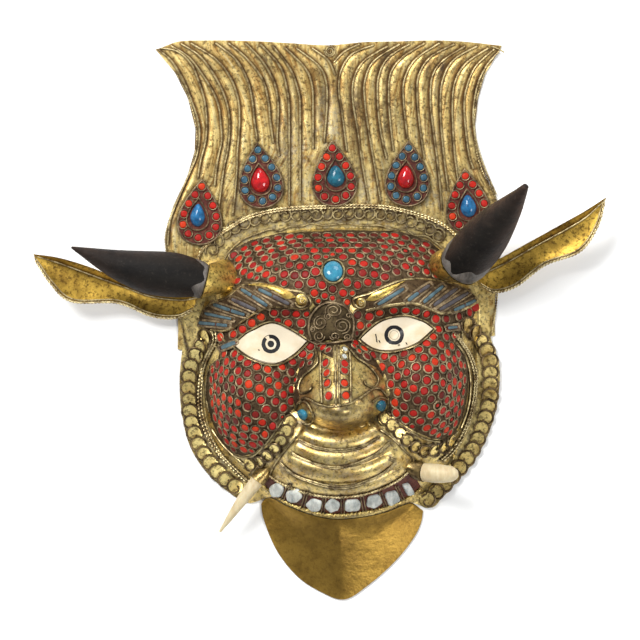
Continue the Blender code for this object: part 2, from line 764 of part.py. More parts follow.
def crown_drop(number):
    """A teardrop plate laid across the locks, and the domed stone on it."""
    tip, foot, stone, red = DROPS[number - 1]
    tip, foot, stone = (Vector(p) * SHARE for p in (tip, foot, stone))
    axis = (tip - foot).normalized()
    across = Vector((axis.y, -axis.x))
    middle = (tip + foot) / 2
    outline = bpy.data.curves.new("drop", "CURVE")
    outline.dimensions = "2D"
    outline.fill_mode = "BOTH"
    outline.extrude = DROP_THICKNESS / 2
    spline = outline.splines.new("POLY")
    spline.points.add(DROP_POINTS - 1)
    for i, point in enumerate(spline.points):
        angle = math.tau * i / DROP_POINTS
        wide = math.sin(angle) * abs(math.sin(angle / 2)) ** DROP_POINTEDNESS * DROP_FULLNESS
        spot = across * DROP_WIDTH * wide + axis * DROP_LENGTH / 2 * math.cos(angle)
        point.co = (*spot, 0, 1)
    spline.use_cyclic_u = True
    flat = bpy.data.objects.new("drop", outline)
    MASK.objects.link(flat)
    bpy.context.view_layer.update()
    mesh = bpy.data.meshes.new_from_object(flat.evaluated_get(bpy.context.evaluated_depsgraph_get()))
    bpy.data.objects.remove(flat)
    form = bmesh.new()
    form.from_mesh(mesh)
    plate = finish(f"crown_drop_{number}", mesh_of(f"crown_drop_{number}", form), aged_brass())
    rest = CROWN_SHEET + LOCK_HEIGHT + SEAT_GAP
    plate.location = (*middle, rest + DROP_THICKNESS / 2)
    form = bmesh.new()
    bmesh.ops.create_uvsphere(form, u_segments=GEM_SEGMENTS, v_segments=GEM_SEGMENTS - 2, radius=1.0)
    ball = form.verts[:] + form.edges[:] + form.faces[:]
    bmesh.ops.bisect_plane(form, geom=ball, plane_co=(0, 0, GEM_CUT), plane_no=(0, 0, 1), clear_inner=True)
    bmesh.ops.holes_fill(form, edges=[edge for edge in form.edges if edge.is_boundary])
    bmesh.ops.scale(form, verts=form.verts, vec=(GEM_WIDTH / 2, GEM_LENGTH / 2, GEM_HEIGHT))
    mesh = mesh_of(f"crown_stone_{number}", form)
    gem = finish(f"crown_stone_{number}", mesh, red_glass() if red else turquoise())
    gem.location = (*stone, rest + DROP_THICKNESS + SEAT_GAP)


# Teeth: centre and share of the full width.
TEETH = (
    ((-40, -110.5), 0.95), ((-28.5, -115.8), 1.0), ((-15.2, -120.3), 1.05), ((-3.3, -121.4), 0.95),
    ((9.2, -121), 1.0), ((23, -118.6), 1.0), ((35, -114.8), 1.0), ((45.5, -109), 0.6),
)


def tooth(number):
    """A roughly square chip of shell, rounded over."""
    (x, y), width = TEETH[number - 1]
    half = TOOTH_SIZE / 2
    lean = math.atan2(x - NOSE_ROOT[0], NOSE_ROOT[1] - y)
    outline = []
    for px, py in circle(1.0, sides=8):
        stretch = (abs(px) ** TOOTH_SQUARENESS + abs(py) ** TOOTH_SQUARENESS) ** (-1 / TOOTH_SQUARENESS)
        a, b = px * stretch * half * width, py * stretch * half
        outline.append((a * math.cos(lean) - b * math.sin(lean), a * math.sin(lean) + b * math.cos(lean)))
    profile = ((1.0, TOOTH_THICKNESS * 0.55), (0.75, TOOTH_THICKNESS))
    scribed_round(f"tooth_{number}", (x * SHARE, y * SHARE), outline, profile, shell())


# Fangs: centre line from butt to tip and radii; the collets' seats on the face.
FANGS = {
    "left": {
        "line": ((-53.5, -106.5, 20), (-60, -114.5, 20), (-68, -125.5, 18.5), (-78, -140, 15)),
        "radii": (4.6, 4.2, 3.0, 0.9),
        "seat": (-50, -102),
        "seat_size": (5.2, 5.2),
        "mouth_radius": 5.2,
    },
    "right": {
        "line": ((57, -100.5, 26), (63, -101, 29), (69, -101.3, 32), (75, -101.5, 35), (78, -101.6, 36.5)),
        "radii": (6.3, 6.4, 6.1, 5.2, 3.0),
        "seat": (51.5, -99),
        "seat_size": (6.6, 6.6),
        "mouth_radius": 6.6,
    },
}


def fang(side):
    row = FANGS[side]
    tapered(f"fang_{side}", shares(row["line"]), [r * SHARE for r in row["radii"]], bone(), FANG_SIDES)


NOSTRILS = {"left": ((-23, -61.5), 0.5), "right": ((27.3, -56), -0.5)}


def nostril_stone(side):
    centre, turn = NOSTRILS[side]
    outline = circle(NOSTRIL_STONE_WIDTH / 2, NOSTRIL_STONE_LENGTH / 2, sides=10, turn=turn)
    profile = ((1.0, NOSTRIL_STONE_THICKNESS * 0.6), (0.6, NOSTRIL_STONE_THICKNESS))
    place = [c * SHARE for c in centre]
    scribed_round(f"nostril_stone_{side}", place, outline, profile, turquoise(), under=(1.0,))


def set_down():
    """Puts the origin under the middle of the whole mask, on the table."""
    bpy.context.view_layer.update()
    graph = bpy.context.evaluated_depsgraph_get()
    low, high = Vector((1, 1, 1)), Vector((-1, -1, -1))
    for piece in MASK.objects:
        if piece.type != "MESH":
            continue
        shape = piece.evaluated_get(graph)
        for vertex in shape.data.vertices:
            spot = shape.matrix_world @ vertex.co
            low = Vector(map(min, low, spot))
            high = Vector(map(max, high, spot))
    middle = (low + high) / 2
    ORIGIN.location = (-middle.x, -middle.y, -low.z)


for leftover in list(bpy.data.objects):
    bpy.data.objects.remove(leftover)
MASK = bpy.data.collections.new("cham_mask")
CUTTERS = bpy.data.collections.new("cutters")
for group in (MASK, CUTTERS):
    bpy.context.scene.collection.children.link(group)
ORIGIN = bpy.data.objects.new("mask_origin", None)
MASK.objects.link(ORIGIN)

face()
crown()
chin_plate()
brow_medallion()
forehead_stone()
for hand in ("left", "right"):
    ear(hand)
    ferrule(f"horn_socket_{hand}", HORNS[hand], SOCKET_STEPS, SOCKET_SWELL)
    horn(hand)
    eye(hand)
    brow(hand)
    ferrule(f"fang_collet_{hand}", FANGS[hand], COLLET_STEPS, 0.0)
    fang(hand)
    nostril_stone(hand)
for place in range(1, len(DROPS) + 1):
    crown_drop(place)
for place in range(1, len(TEETH) + 1):
    tooth(place)
set_down()
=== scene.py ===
"""Looks of the horned cham mask: fine sheet, wirework, stones, horn and bone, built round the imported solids.

The mask lies on its back. Its plan comes from the photograph, in which a pixel is PIXEL metres, and its
heights come from the same relief as the solids, which is given in shares of SHARE metres. Left and right
are the viewer's. Lengths are metres, except for the wires' courses, which are pixels, and shares.
"""

import math
import random

import bpy
import numpy as np
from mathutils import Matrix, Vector
from mathutils.kdtree import KDTree


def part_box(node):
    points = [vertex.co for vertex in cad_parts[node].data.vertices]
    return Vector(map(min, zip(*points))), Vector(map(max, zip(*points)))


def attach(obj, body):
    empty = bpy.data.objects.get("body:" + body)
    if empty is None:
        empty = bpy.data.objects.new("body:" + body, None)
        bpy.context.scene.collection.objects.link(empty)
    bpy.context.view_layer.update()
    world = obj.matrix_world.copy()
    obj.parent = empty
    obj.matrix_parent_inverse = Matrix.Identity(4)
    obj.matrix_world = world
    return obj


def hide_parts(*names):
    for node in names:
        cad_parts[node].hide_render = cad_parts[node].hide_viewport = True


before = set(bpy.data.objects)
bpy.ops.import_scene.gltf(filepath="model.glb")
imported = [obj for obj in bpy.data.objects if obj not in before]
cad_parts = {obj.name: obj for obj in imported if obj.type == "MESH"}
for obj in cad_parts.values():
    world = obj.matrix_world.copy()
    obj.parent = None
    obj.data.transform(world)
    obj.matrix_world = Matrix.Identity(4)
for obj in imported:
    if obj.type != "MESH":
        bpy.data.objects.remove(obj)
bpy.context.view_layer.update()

RANDOM = random.Random(7)

# The photograph's scale, and the point between the eyes' outer corners that the relief is measured from.
PIXEL = 0.00066
MIDDLE_PIXEL = (338, 320)
PICTURE_CENTRE = (320, 320)
PICTURE_SIDE = 640

# Sizes shared with the solids.
SHARE = 0.001
FACE_SHEET = 0.0012
CROWN_SHEET = 0.0012
CHIN_SHEET = 0.0012
EAR_SHEET = 0.0012
SEAT_GAP = 0.0003
LOCK_HEIGHT = 0.0018
DROP_THICKNESS = 0.0014
EYE_THICKNESS = 0.0024
BROW_THICKNESS = 0.0026
DROP_REST = CROWN_SHEET + LOCK_HEIGHT + SEAT_GAP
DROP_TOP = DROP_REST + DROP_THICKNESS

# The middle stone of the crown sits here in the relief's own coordinates, which places the frame.
MIDDLE_STONE = Vector((-0.0013, 0.0944))
low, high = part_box("crown_stone_3")
OFFSET = Vector(((low.x + high.x) / 2 - MIDDLE_STONE.x, (low.y + high.y) / 2 - MIDDLE_STONE.y, 0))

# The relief, as in the solids, in shares.
NOSE_ROOT = (0.0, -34.3)
RIM_OUTLINE = (
    (-2, 76), (-38, 74), (-65, 67), (-88, 51), (-98, 30), (-102, 7), (-103, -17), (-105, -43), (-103, -65),
    (-98, -84), (-88, -100), (-74, -113), (-59, -121.5), (-45, -117.5), (-35, -122), (-25, -126), (-5, -131),
    (16, -130), (31, -127), (48, -121), (62, -124.5), (69, -118), (80, -106), (90, -94), (100, -75),
    (106, -53), (107, -30), (101, -10), (100, 13), (93, 38), (77, 59), (54, 71), (28, 76),
)
DOME_OUTLINE = (
    (0, 61), (-35, 58), (-61, 48), (-78, 33), (-88, 14), (-92, -3), (-90, -20), (-89, -43), (-87, -65),
    (-81, -82), (-70, -98), (-57, -110), (-45, -122), (-32, -137), (-15, -148), (0, -152), (18, -148),
    (34, -137), (47, -124), (59, -113), (71, -101), (80, -84), (87, -66), (91, -45), (92, -20), (93, -4),
    (92, 12), (84, 29), (68, 46), (38, 58),
)
MOUTH_BAND = 12.0
SWELLINGS = (
    ((-1, 32), (80, 80, 32, 34), 8.5, 2.0),
    ((-50, 13), (48, 44, 17, 15), 6.0, 2.0),
    ((52, 15), (44, 48, 17, 15), 6.0, 2.0),
    ((-43, -15), (32, 30, 19, 19), -5.0, 2.0),
    ((39, -9), (30, 32, 19, 19), -5.0, 2.0),
    ((-59, -51), (35, 39, 45, 42), 18.0, 1.5),
    ((61, -45), (38, 34, 45, 45), 18.0, 1.5),
    ((-1, -8), (17, 17, 28, 42), 9.0, 2.0),
    ((1.5, -51), (31, 31, 38, 21), 26.0, 0.85),
    ((1, -59), (24, 24, 26, 13), 9.0, 1.1),
    ((-20, -58), (12, 12, 14, 11), 4.0, 1.3),
    ((23, -53), (12, 12, 14, 11), 4.0, 1.3),
    ((1, -87), (54, 54, 32, 37), 17.0, 1.0),
)
DOME_RISE = 34.0
DOME_SHOULDER = 0.5
DOME_EXPONENT = 2.2
DOME_EDGE = 0.12
RIM_CLIMB_START = -62.0
RIM_CLIMB_LENGTH = 26.0
SLOPE_STEP = 0.5
FOLD_RADII = (40.0, 50.8, 62.0, 73.3, 82.0)
FOLD_HEIGHT = 2.2
FOLD_BEARINGS = (236.5, 308.0)
FOLD_FADE = 4.0


def hermite(p0, p1, p2, p3, t):
    """Catmull-Rom value between p1 and p2."""
    line = 2 * p1 + (p2 - p0) * t
    return 0.5 * (line + (2 * p0 - 5 * p1 + 4 * p2 - p3) * t**2 + (3 * p1 - p0 - 3 * p2 + p3) * t**3)


def clamp(value, low=0.0, high=1.0):
    return max(low, min(high, value))


def smooth_step(t):
    t = clamp(t)
    return t * t * (3 - 2 * t)


def mix(a, b, t):
    return a + (b - a) * t


def spline_point(points, u):
    """Point at share u of an open smooth curve through points."""
    spans = len(points) - 1
    place = clamp(u) * spans
    i = min(int(place), spans - 1)
    near = [points[clamp(k, 0, spans)] for k in (i - 1, i, i + 1, i + 2)]
    return tuple(hermite(*axis, place - i) for axis in zip(*near))


class Outline:
    """A closed outline seen from the nose root: its radius at each bearing."""

    def __init__(self, points):
        rays = []
        for x, y in points:
            dx, dy = x - NOSE_ROOT[0], y - NOSE_ROOT[1]
            rays.append((math.atan2(dy, dx) % math.tau, math.hypot(dx, dy)))
        self.rays = sorted(rays)

    def radius(self, bearing):
        bearing %= math.tau
        rays = self.rays
        count = len(rays)
        i = sum(1 for angle, _ in rays if angle <= bearing) - 1
        start = rays[i][0] if i >= 0 else rays[-1][0] - math.tau
        end = rays[(i + 1) % count][0]
        if i == count - 1:
            end += math.tau
        near = [rays[(i + k) % count][1] for k in (-1, 0, 1, 2)]
        return hermite(*near, (bearing - start) / (end - start))


RIM = Outline(RIM_OUTLINE)
DOME = Outline(DOME_OUTLINE)


def swelling(x, y, centre, half_widths, height, exponent):
    left, right, up, down = half_widths
    dx, dy = x - centre[0], y - centre[1]
    across = dx / (right if dx > 0 else left)
    along = dy / (up if dy > 0 else down)
    return height * clamp(1 - across**2 - along**2) ** exponent


def folds(x, y):
    """Rolls of the muzzle, each a low arch between two arcs about the nose root."""
    dx, dy = x - NOSE_ROOT[0], y - NOSE_ROOT[1]
    radius = math.hypot(dx, dy)
    bearing = math.degrees(math.atan2(dy, dx)) % 360
    inside = min(bearing - FOLD_BEARINGS[0], FOLD_BEARINGS[1] - bearing) / FOLD_FADE
    for low, high in zip(FOLD_RADII, FOLD_RADII[1:]):
        if low < radius < high:
            place = (radius - low) / (high - low)
            return FOLD_HEIGHT * 4 * place * (1 - place) * smooth_step(inside)
    return 0.0


def relief(x, y):
    """Height of the hammered face above its rim, all in shares."""
    dx, dy = x - NOSE_ROOT[0], y - NOSE_ROOT[1]
    reach = math.hypot(dx, dy) / DOME.radius(math.atan2(dy, dx))
    shoulder = clamp((1 - reach) / DOME_SHOULDER)
    height = DOME_RISE * (1 - (1 - shoulder) ** DOME_EXPONENT)
    inside = smooth_step((1 - reach) / DOME_EDGE)
    height += inside * sum(swelling(x, y, *row) for row in SWELLINGS)
    return height + folds(x, y)


def rim_level(y):
    """Top of the face's flat rim: over the crown plate above, down on the table below."""
    over_crown = smooth_step((y / SHARE - RIM_CLIMB_START) / RIM_CLIMB_LENGTH)
    return FACE_SHEET + (CROWN_SHEET + SEAT_GAP) * over_crown


def face_top(x, y):
    return rim_level(y) + relief(x / SHARE, y / SHARE) * SHARE


def face_frame(x, y):
    """Point on the face's outer surface, and the unit vectors along X, across it and out of it."""
    step = SLOPE_STEP * SHARE
    slope_x = (face_top(x + step, y) - face_top(x - step, y)) / (2 * step)
    slope_y = (face_top(x, y + step) - face_top(x, y - step)) / (2 * step)
    out = Vector((-slope_x, -slope_y, 1)).normalized()
    along = Vector((1, 0, slope_x)).normalized()
    return Vector((x, y, face_top(x, y))), along, out.cross(along), out


def above_face(x, y, height):
    point, _, _, out = face_frame(x, y)
    return point + out * height


def spot(pixel):
    """Plan position of a pixel of the photograph."""
    return (pixel[0] - MIDDLE_PIXEL[0]) * PIXEL, (MIDDLE_PIXEL[1] - pixel[1]) * PIXEL


def spots(pixels):
    return [spot(pixel) for pixel in pixels]


def on_face(pixel, lift):
    return above_face(*spot(pixel), lift)


def on_crown(pixel, lift):
    return Vector((*spot(pixel), CROWN_SHEET + lift))


def picture_point(x, y):
    """The pixel of the photograph that shows a plan position."""
    return MIDDLE_PIXEL[0] + x / PIXEL, MIDDLE_PIXEL[1] - y / PIXEL


def shifted(pixels, right, down):
    return [(x + right, y + down) for x, y in pixels]


# Material building: colours are linear, distances metres, and a noise's scale is its cells in a metre.
MATTE_SPECULAR = 0.22
RUST = (0.34, 0.14, 0.028)
SOOT_AND_SHADE = (0.085, 0.060, 0.040)
OXIDE_STREAK = (0.36, 0.185, 0.045)
PALE_STREAK = (0.70, 0.60, 0.33)


class Look:
    """A procedural material: a shader with helpers that chain nodes onto it."""

    def __init__(self, name, metallic, roughness):
        self.material = bpy.data.materials.new(name)
        self.material.use_nodes = True
        self.tree = self.material.node_tree
        self.shader = self.tree.nodes["Principled BSDF"]
        self.shader.inputs["Metallic"].default_value = metallic
        self.shader.inputs["Roughness"].default_value = roughness
        if not metallic:
            self.shader.inputs["Specular IOR Level"].default_value = MATTE_SPECULAR
        self.place = self.node("ShaderNodeTexCoord").outputs["Object"]

    def node(self, kind, **values):
        made = self.tree.nodes.new(kind)
        for key, value in values.items():
            setattr(made, key, value)
        return made

    def link(self, source, socket):
        self.tree.links.new(source, socket)

    def stretched(self, scale):
        mapping = self.node("ShaderNodeMapping")
        mapping.inputs["Scale"].default_value = scale
        self.link(self.place, mapping.inputs["Vector"])
        return mapping.outputs["Vector"]

    def noise(self, scale, detail=4.0, rough=0.6, stretch=None, place=None):
        made = self.node("ShaderNodeTexNoise")
        made.inputs["Scale"].default_value = scale
        made.inputs["Detail"].default_value = detail
        made.inputs["Roughness"].default_value = rough
        if place is None:
            place = self.stretched(stretch) if stretch else self.place
        self.link(place, made.inputs["Vector"])
        return made.outputs["Fac"]

    def ramp(self, source, stops, smooth=True):
        made = self.node("ShaderNodeValToRGB")
        made.color_ramp.interpolation = "LINEAR" if smooth else "CONSTANT"
        elements = made.color_ramp.elements
        while len(elements) < len(stops):
            elements.new(0.5)
        for element, (position, colour) in zip(elements, stops):
            element.position = position
            shade = colour if isinstance(colour, tuple) else (colour, colour, colour)
            element.color = (*shade, 1)
        self.link(source, made.inputs["Fac"])
        return made.outputs["Color"]

    def blend(self, share, first, second):
        made = self.node("ShaderNodeMix", data_type="RGBA")
        for value, key in ((share, "Factor"), (first, "A"), (second, "B")):
            socket = made.inputs[key]
            if isinstance(value, tuple):
                socket.default_value = (*value, 1)
            elif isinstance(value, float):
                socket.default_value = value
            else:
                self.link(value, socket)
        return made.outputs["Result"]

    def maths(self, kind, first, second):
        made = self.node("ShaderNodeMath", operation=kind)
        for value, socket in zip((first, second), made.inputs):
            if isinstance(value, float):
                socket.default_value = value
            else:
                self.link(value, socket)
        return made.outputs["Value"]

    def attribute(self, name):
        return self.node("ShaderNodeAttribute", attribute_name=name).outputs["Fac"]

    def colour(self, source):
        self.link(source, self.shader.inputs["Base Color"])

    def roughness(self, source, low, high):
        made = self.node("ShaderNodeMapRange")
        made.inputs["To Min"].default_value = low
        made.inputs["To Max"].default_value = high
        self.link(source, made.inputs["Value"])
        self.link(made.outputs["Result"], self.shader.inputs["Roughness"])

    def bump(self, source, depth, strength=0.5):
        made = self.node("ShaderNodeBump")
        made.inputs["Strength"].default_value = strength
        made.inputs["Distance"].default_value = depth
        self.link(source, made.inputs["Height"])
        self.link(made.outputs["Normal"], self.shader.inputs["Normal"])


def sheet_metal(name, bright, dull, dirt_and_shade, roughness=(0.25, 0.5), powder=0.0, dirt_share=0.5, dent=0.0006,
                flow=False, powder_colour=(0.52, 0.45, 0.31), speck=0.75):
    """Hammered, tarnished sheet: blotches of tarnish, rust, soot and painted shade, dirt and painted shade
    beside the wires, pits and powder.

    With flow, its streaks run along the locks of hair.
    """
    made = Look(name, 0.9, 0.4)
    blotches = made.noise(55, 6, 0.65)
    fine = made.noise(420, 5, 0.7)
    colour = made.ramp(blotches, ((0.35, dull), (0.54, bright)))
    if flow:
        along = made.node("ShaderNodeCombineXYZ")
        made.link(made.attribute("flow_across"), along.inputs["X"])
        made.link(made.attribute("flow_down"), along.inputs["Y"])
        streaks = made.noise(1.0, 5.0, 0.65, place=along.outputs["Vector"])
        oxide = made.ramp(streaks, ((0.47, 0.0), (0.62, 0.9)))
        colour = made.blend(oxide, colour, OXIDE_STREAK)
        pale = made.ramp(streaks, ((0.36, 0.7), (0.48, 0.0)))
        colour = made.blend(pale, colour, PALE_STREAK)
    cloud = made.ramp(made.noise(150, 6, 0.75), ((0.38, 0.3), (0.54, 1.0)))
    colour = made.blend(made.maths("MULTIPLY", made.attribute("rust"), cloud), colour, RUST)
    # Soot, and on the face painted shade under the nose and along the muzzle's rolls.
    colour = made.blend(made.maths("MULTIPLY", made.attribute("soot"), cloud), colour, SOOT_AND_SHADE)
    specks = made.ramp(fine, ((0.39, 1.0), (0.5, 0.0)))
    colour = made.blend(made.maths("MULTIPLY", specks, speck), colour, dirt_and_shade)
    # Dirt and painted shade: darker beside wires and settings, in creases and in hollows.
    grime_and_painted_light = made.maths("MULTIPLY", made.attribute("grime_and_painted_light"), made.maths("ADD", made.noise(230, 4, 0.6), 0.6))
    stain = made.ramp(made.noise(24, 7, 0.7), ((0.5, 0.0), (0.72, dirt_share)))
    colour = made.blend(made.maths("MAXIMUM", grime_and_painted_light, stain), colour, dirt_and_shade)
    if powder:
        dust = made.ramp(made.noise(300, 6, 0.75), ((0.46, 0.0), (0.61, powder)))
        dust = made.maths("MULTIPLY", dust, made.attribute("dust"))
        colour = made.blend(dust, colour, powder_colour)
    made.colour(colour)
    made.roughness(made.noise(120, 5, 0.6), *roughness)
    made.bump(made.maths("ADD", made.noise(95, 3, 0.5), made.maths("MULTIPLY", fine, 0.35)), dent, 0.55)
    return made.material


def wire_metal(name, bright, dark, roughness=(0.3, 0.55), share=0.5):
    """Brass wire, worn bright on top and dark in its joints."""
    made = Look(name, 0.85, 0.4)
    patches = made.ramp(made.noise(160, 5, 0.7), ((0.38, dark), (0.38 + 0.3 * share + 0.05, bright)))
    specks = made.ramp(made.noise(900, 3, 0.6), ((0.34, 0.7), (0.52, 0.0)))
    made.colour(made.blend(specks, patches, dark))
    made.roughness(made.noise(300, 4, 0.6), *roughness)
    made.bump(made.noise(700, 4, 0.6), 0.0002, 0.4)
    return made.material


def coral():
    """Coral chips: each has a tint of its own, from orange-red to maroon, with pale wear and dark pits."""
    made = Look("coral", 0.0, 0.35)
    made.shader.inputs["Specular IOR Level"].default_value = 0.12
    tint = made.ramp(made.attribute("tint"), (
        (0.0, (0.055, 0.014, 0.010)), (0.18, (0.12, 0.013, 0.010)), (0.4, (0.26, 0.012, 0.010)),
        (0.75, (0.42, 0.014, 0.008)), (1.0, (0.52, 0.040, 0.009)),
    ))
    cloud = made.ramp(made.noise(260, 5, 0.7), ((0.35, 0.5), (0.6, 0.0)))
    colour = made.blend(cloud, tint, (0.22, 0.014, 0.010))
    wear = made.ramp(made.noise(520, 5, 0.7), ((0.6, 0.0), (0.74, 0.5)))
    made.colour(made.blend(wear, colour, (0.42, 0.14, 0.09)))
    made.roughness(made.noise(400, 4, 0.6), 0.3, 0.6)
    made.bump(made.noise(500, 4, 0.6), 0.0004, 0.6)
    return made.material


def stone(name, pale, deep, roughness=0.25, coat=0.5):
    """A polished stone or glass: cloudy, with veins."""
    made = Look(name, 0.0, roughness)
    tinted = made.ramp(made.noise(220, 6, 0.65), ((0.32, deep), (0.64, pale)))
    veins = made.ramp(made.noise(484, 6, 0.8), ((0.30, 0.55), (0.42, 0.0)))
    made.colour(made.blend(veins, tinted, tuple(c * 0.35 for c in deep)))
    made.bump(made.noise(440, 3, 0.5), 0.0002, 0.25)
    made.shader.inputs["Coat Weight"].default_value = coat
    made.shader.inputs["Coat Roughness"].default_value = 0.06
    return made.material


def resin():
    """Dark red-brown setting resin, rough and uneven."""
    made = Look("resin", 0.0, 0.5)
    made.colour(made.ramp(made.noise(300, 5, 0.7), (
        (0.3, (0.022, 0.006, 0.003)), (0.52, (0.085, 0.015, 0.007)), (0.72, (0.15, 0.062, 0.028)))))
    made.bump(made.noise(500, 5, 0.7), 0.0006, 0.7)
    return made.material


def horn_look():
    """Buffalo horn: near black, streaked along its length, browner at its sides as painted sheen and at its
    tip, with scuffs.
    """
    made = Look("horn", 0.0, 0.4)
    made.shader.inputs["Specular IOR Level"].default_value = 0.14
    streaks = made.noise(60, 6, 0.7, (0.35, 1.6, 1.0))
    base = made.ramp(streaks, (
        (0.3, (0.003, 0.0025, 0.0025)), (0.6, (0.009, 0.0075, 0.006)), (0.8, (0.026, 0.019, 0.014))))
    browner = made.ramp(made.noise(90, 6, 0.7), ((0.36, 0.2), (0.6, 1.0)))
    # Browner at the flanks as painted sheen, and at the tip.
    edges = made.maths("MULTIPLY", made.attribute("grime_and_painted_light"), browner)
    base = made.blend(edges, base, (0.055, 0.032, 0.022))
    scuffs = made.ramp(made.noise(420, 7, 0.8), ((0.56, 0.0), (0.74, 0.5)))
    made.colour(made.blend(scuffs, base, (0.075, 0.06, 0.05)))
    made.roughness(streaks, 0.38, 0.75)
    made.bump(made.maths("ADD", streaks, made.noise(260, 5, 0.7)), 0.0009, 0.6)
    return made.material


def bone_look(name, pale, warm, crack):
    """Bone, shell or old glue: streaky, with fine dark cracks of the given strength."""
    made = Look(name, 0.0, 0.42)
    grain = made.noise(90, 6, 0.7, (2.2, 0.7, 1.0))
    base = made.ramp(grain, ((0.35, warm), (0.6, pale)))
    lines = made.ramp(made.noise(420, 6, 0.75), ((0.24, crack), (0.33, 0.0)))
    made.colour(made.blend(lines, base, (0.16, 0.10, 0.05)))
    made.bump(made.noise(380, 5, 0.7), 0.0003, 0.4)
    made.shader.inputs["Subsurface Weight"].default_value = 0.15
    made.shader.inputs["Subsurface Radius"].default_value = (0.003, 0.0018, 0.001)
    return made.material


def eye_look(name, centre, rings, notch_row):
    """White bone with the iris painted as rings about its centre, and a few scratches.

    The notch is a gap in the paint: its bearing and half width in radians, then where it starts and ends.
    """
    bearing, half_notch, notch_start, notch_end = notch_row
    made = Look(name, 0.0, 0.4)
    mapping = made.node("ShaderNodeMapping", vector_type="POINT")
    mapping.inputs["Location"].default_value = (-centre[0], -centre[1], 0)
    made.link(made.place, mapping.inputs["Vector"])
    flat = made.node("ShaderNodeVectorMath", operation="MULTIPLY")
    flat.inputs[1].default_value = (1, 1, 0)
    made.link(mapping.outputs["Vector"], flat.inputs[0])
    length = made.node("ShaderNodeVectorMath", operation="LENGTH")
    made.link(flat.outputs["Vector"], length.inputs[0])
    wobble = made.maths("MULTIPLY", made.maths("SUBTRACT", made.noise(260, 3, 0.5), 0.5), 0.0007)
    radius = made.maths("ADD", length.outputs["Value"], wobble)
    reach = rings[-1][0] * 1.5
    share = made.maths("DIVIDE", radius, reach)
    stops = [(0.0, rings[0][1])]
    for (edge, _), (_, shade) in zip(rings, rings[1:]):
        stops.append((edge / reach, shade))
    stops.append((rings[-1][0] / reach, 0.0))
    ink = made.ramp(share, stops, smooth=False)
    along = made.node("ShaderNodeSeparateXYZ")
    made.link(flat.outputs["Vector"], along.inputs["Vector"])
    angle = made.maths("ARCTAN2", along.outputs["Y"], along.outputs["X"])
    turned = made.maths("ABSOLUTE", made.maths("SUBTRACT", angle, bearing), 0.0)
    notch = made.maths("LESS_THAN", turned, half_notch)
    notch = made.maths("MULTIPLY", notch, made.maths("LESS_THAN", radius, notch_end))
    notch = made.maths("MULTIPLY", notch, made.maths("GREATER_THAN", radius, notch_start))
    ink = made.maths("MULTIPLY", ink, made.maths("SUBTRACT", 1.0, notch))
    white = made.ramp(made.noise(70, 5, 0.6), ((0.35, (0.54, 0.44, 0.28)), (0.55, (0.615, 0.535, 0.40))))
    scratch = made.ramp(made.noise(330, 5, 0.75, (2.6, 0.5, 1.0)), ((0.22, 0.8), (0.29, 0.0)))
    white = made.blend(scratch, white, (0.12, 0.09, 0.06))
    made.colour(made.blend(ink, white, (0.008, 0.008, 0.009)))
    made.bump(made.noise(420, 5, 0.7), 0.0002, 0.35)
    return made.material


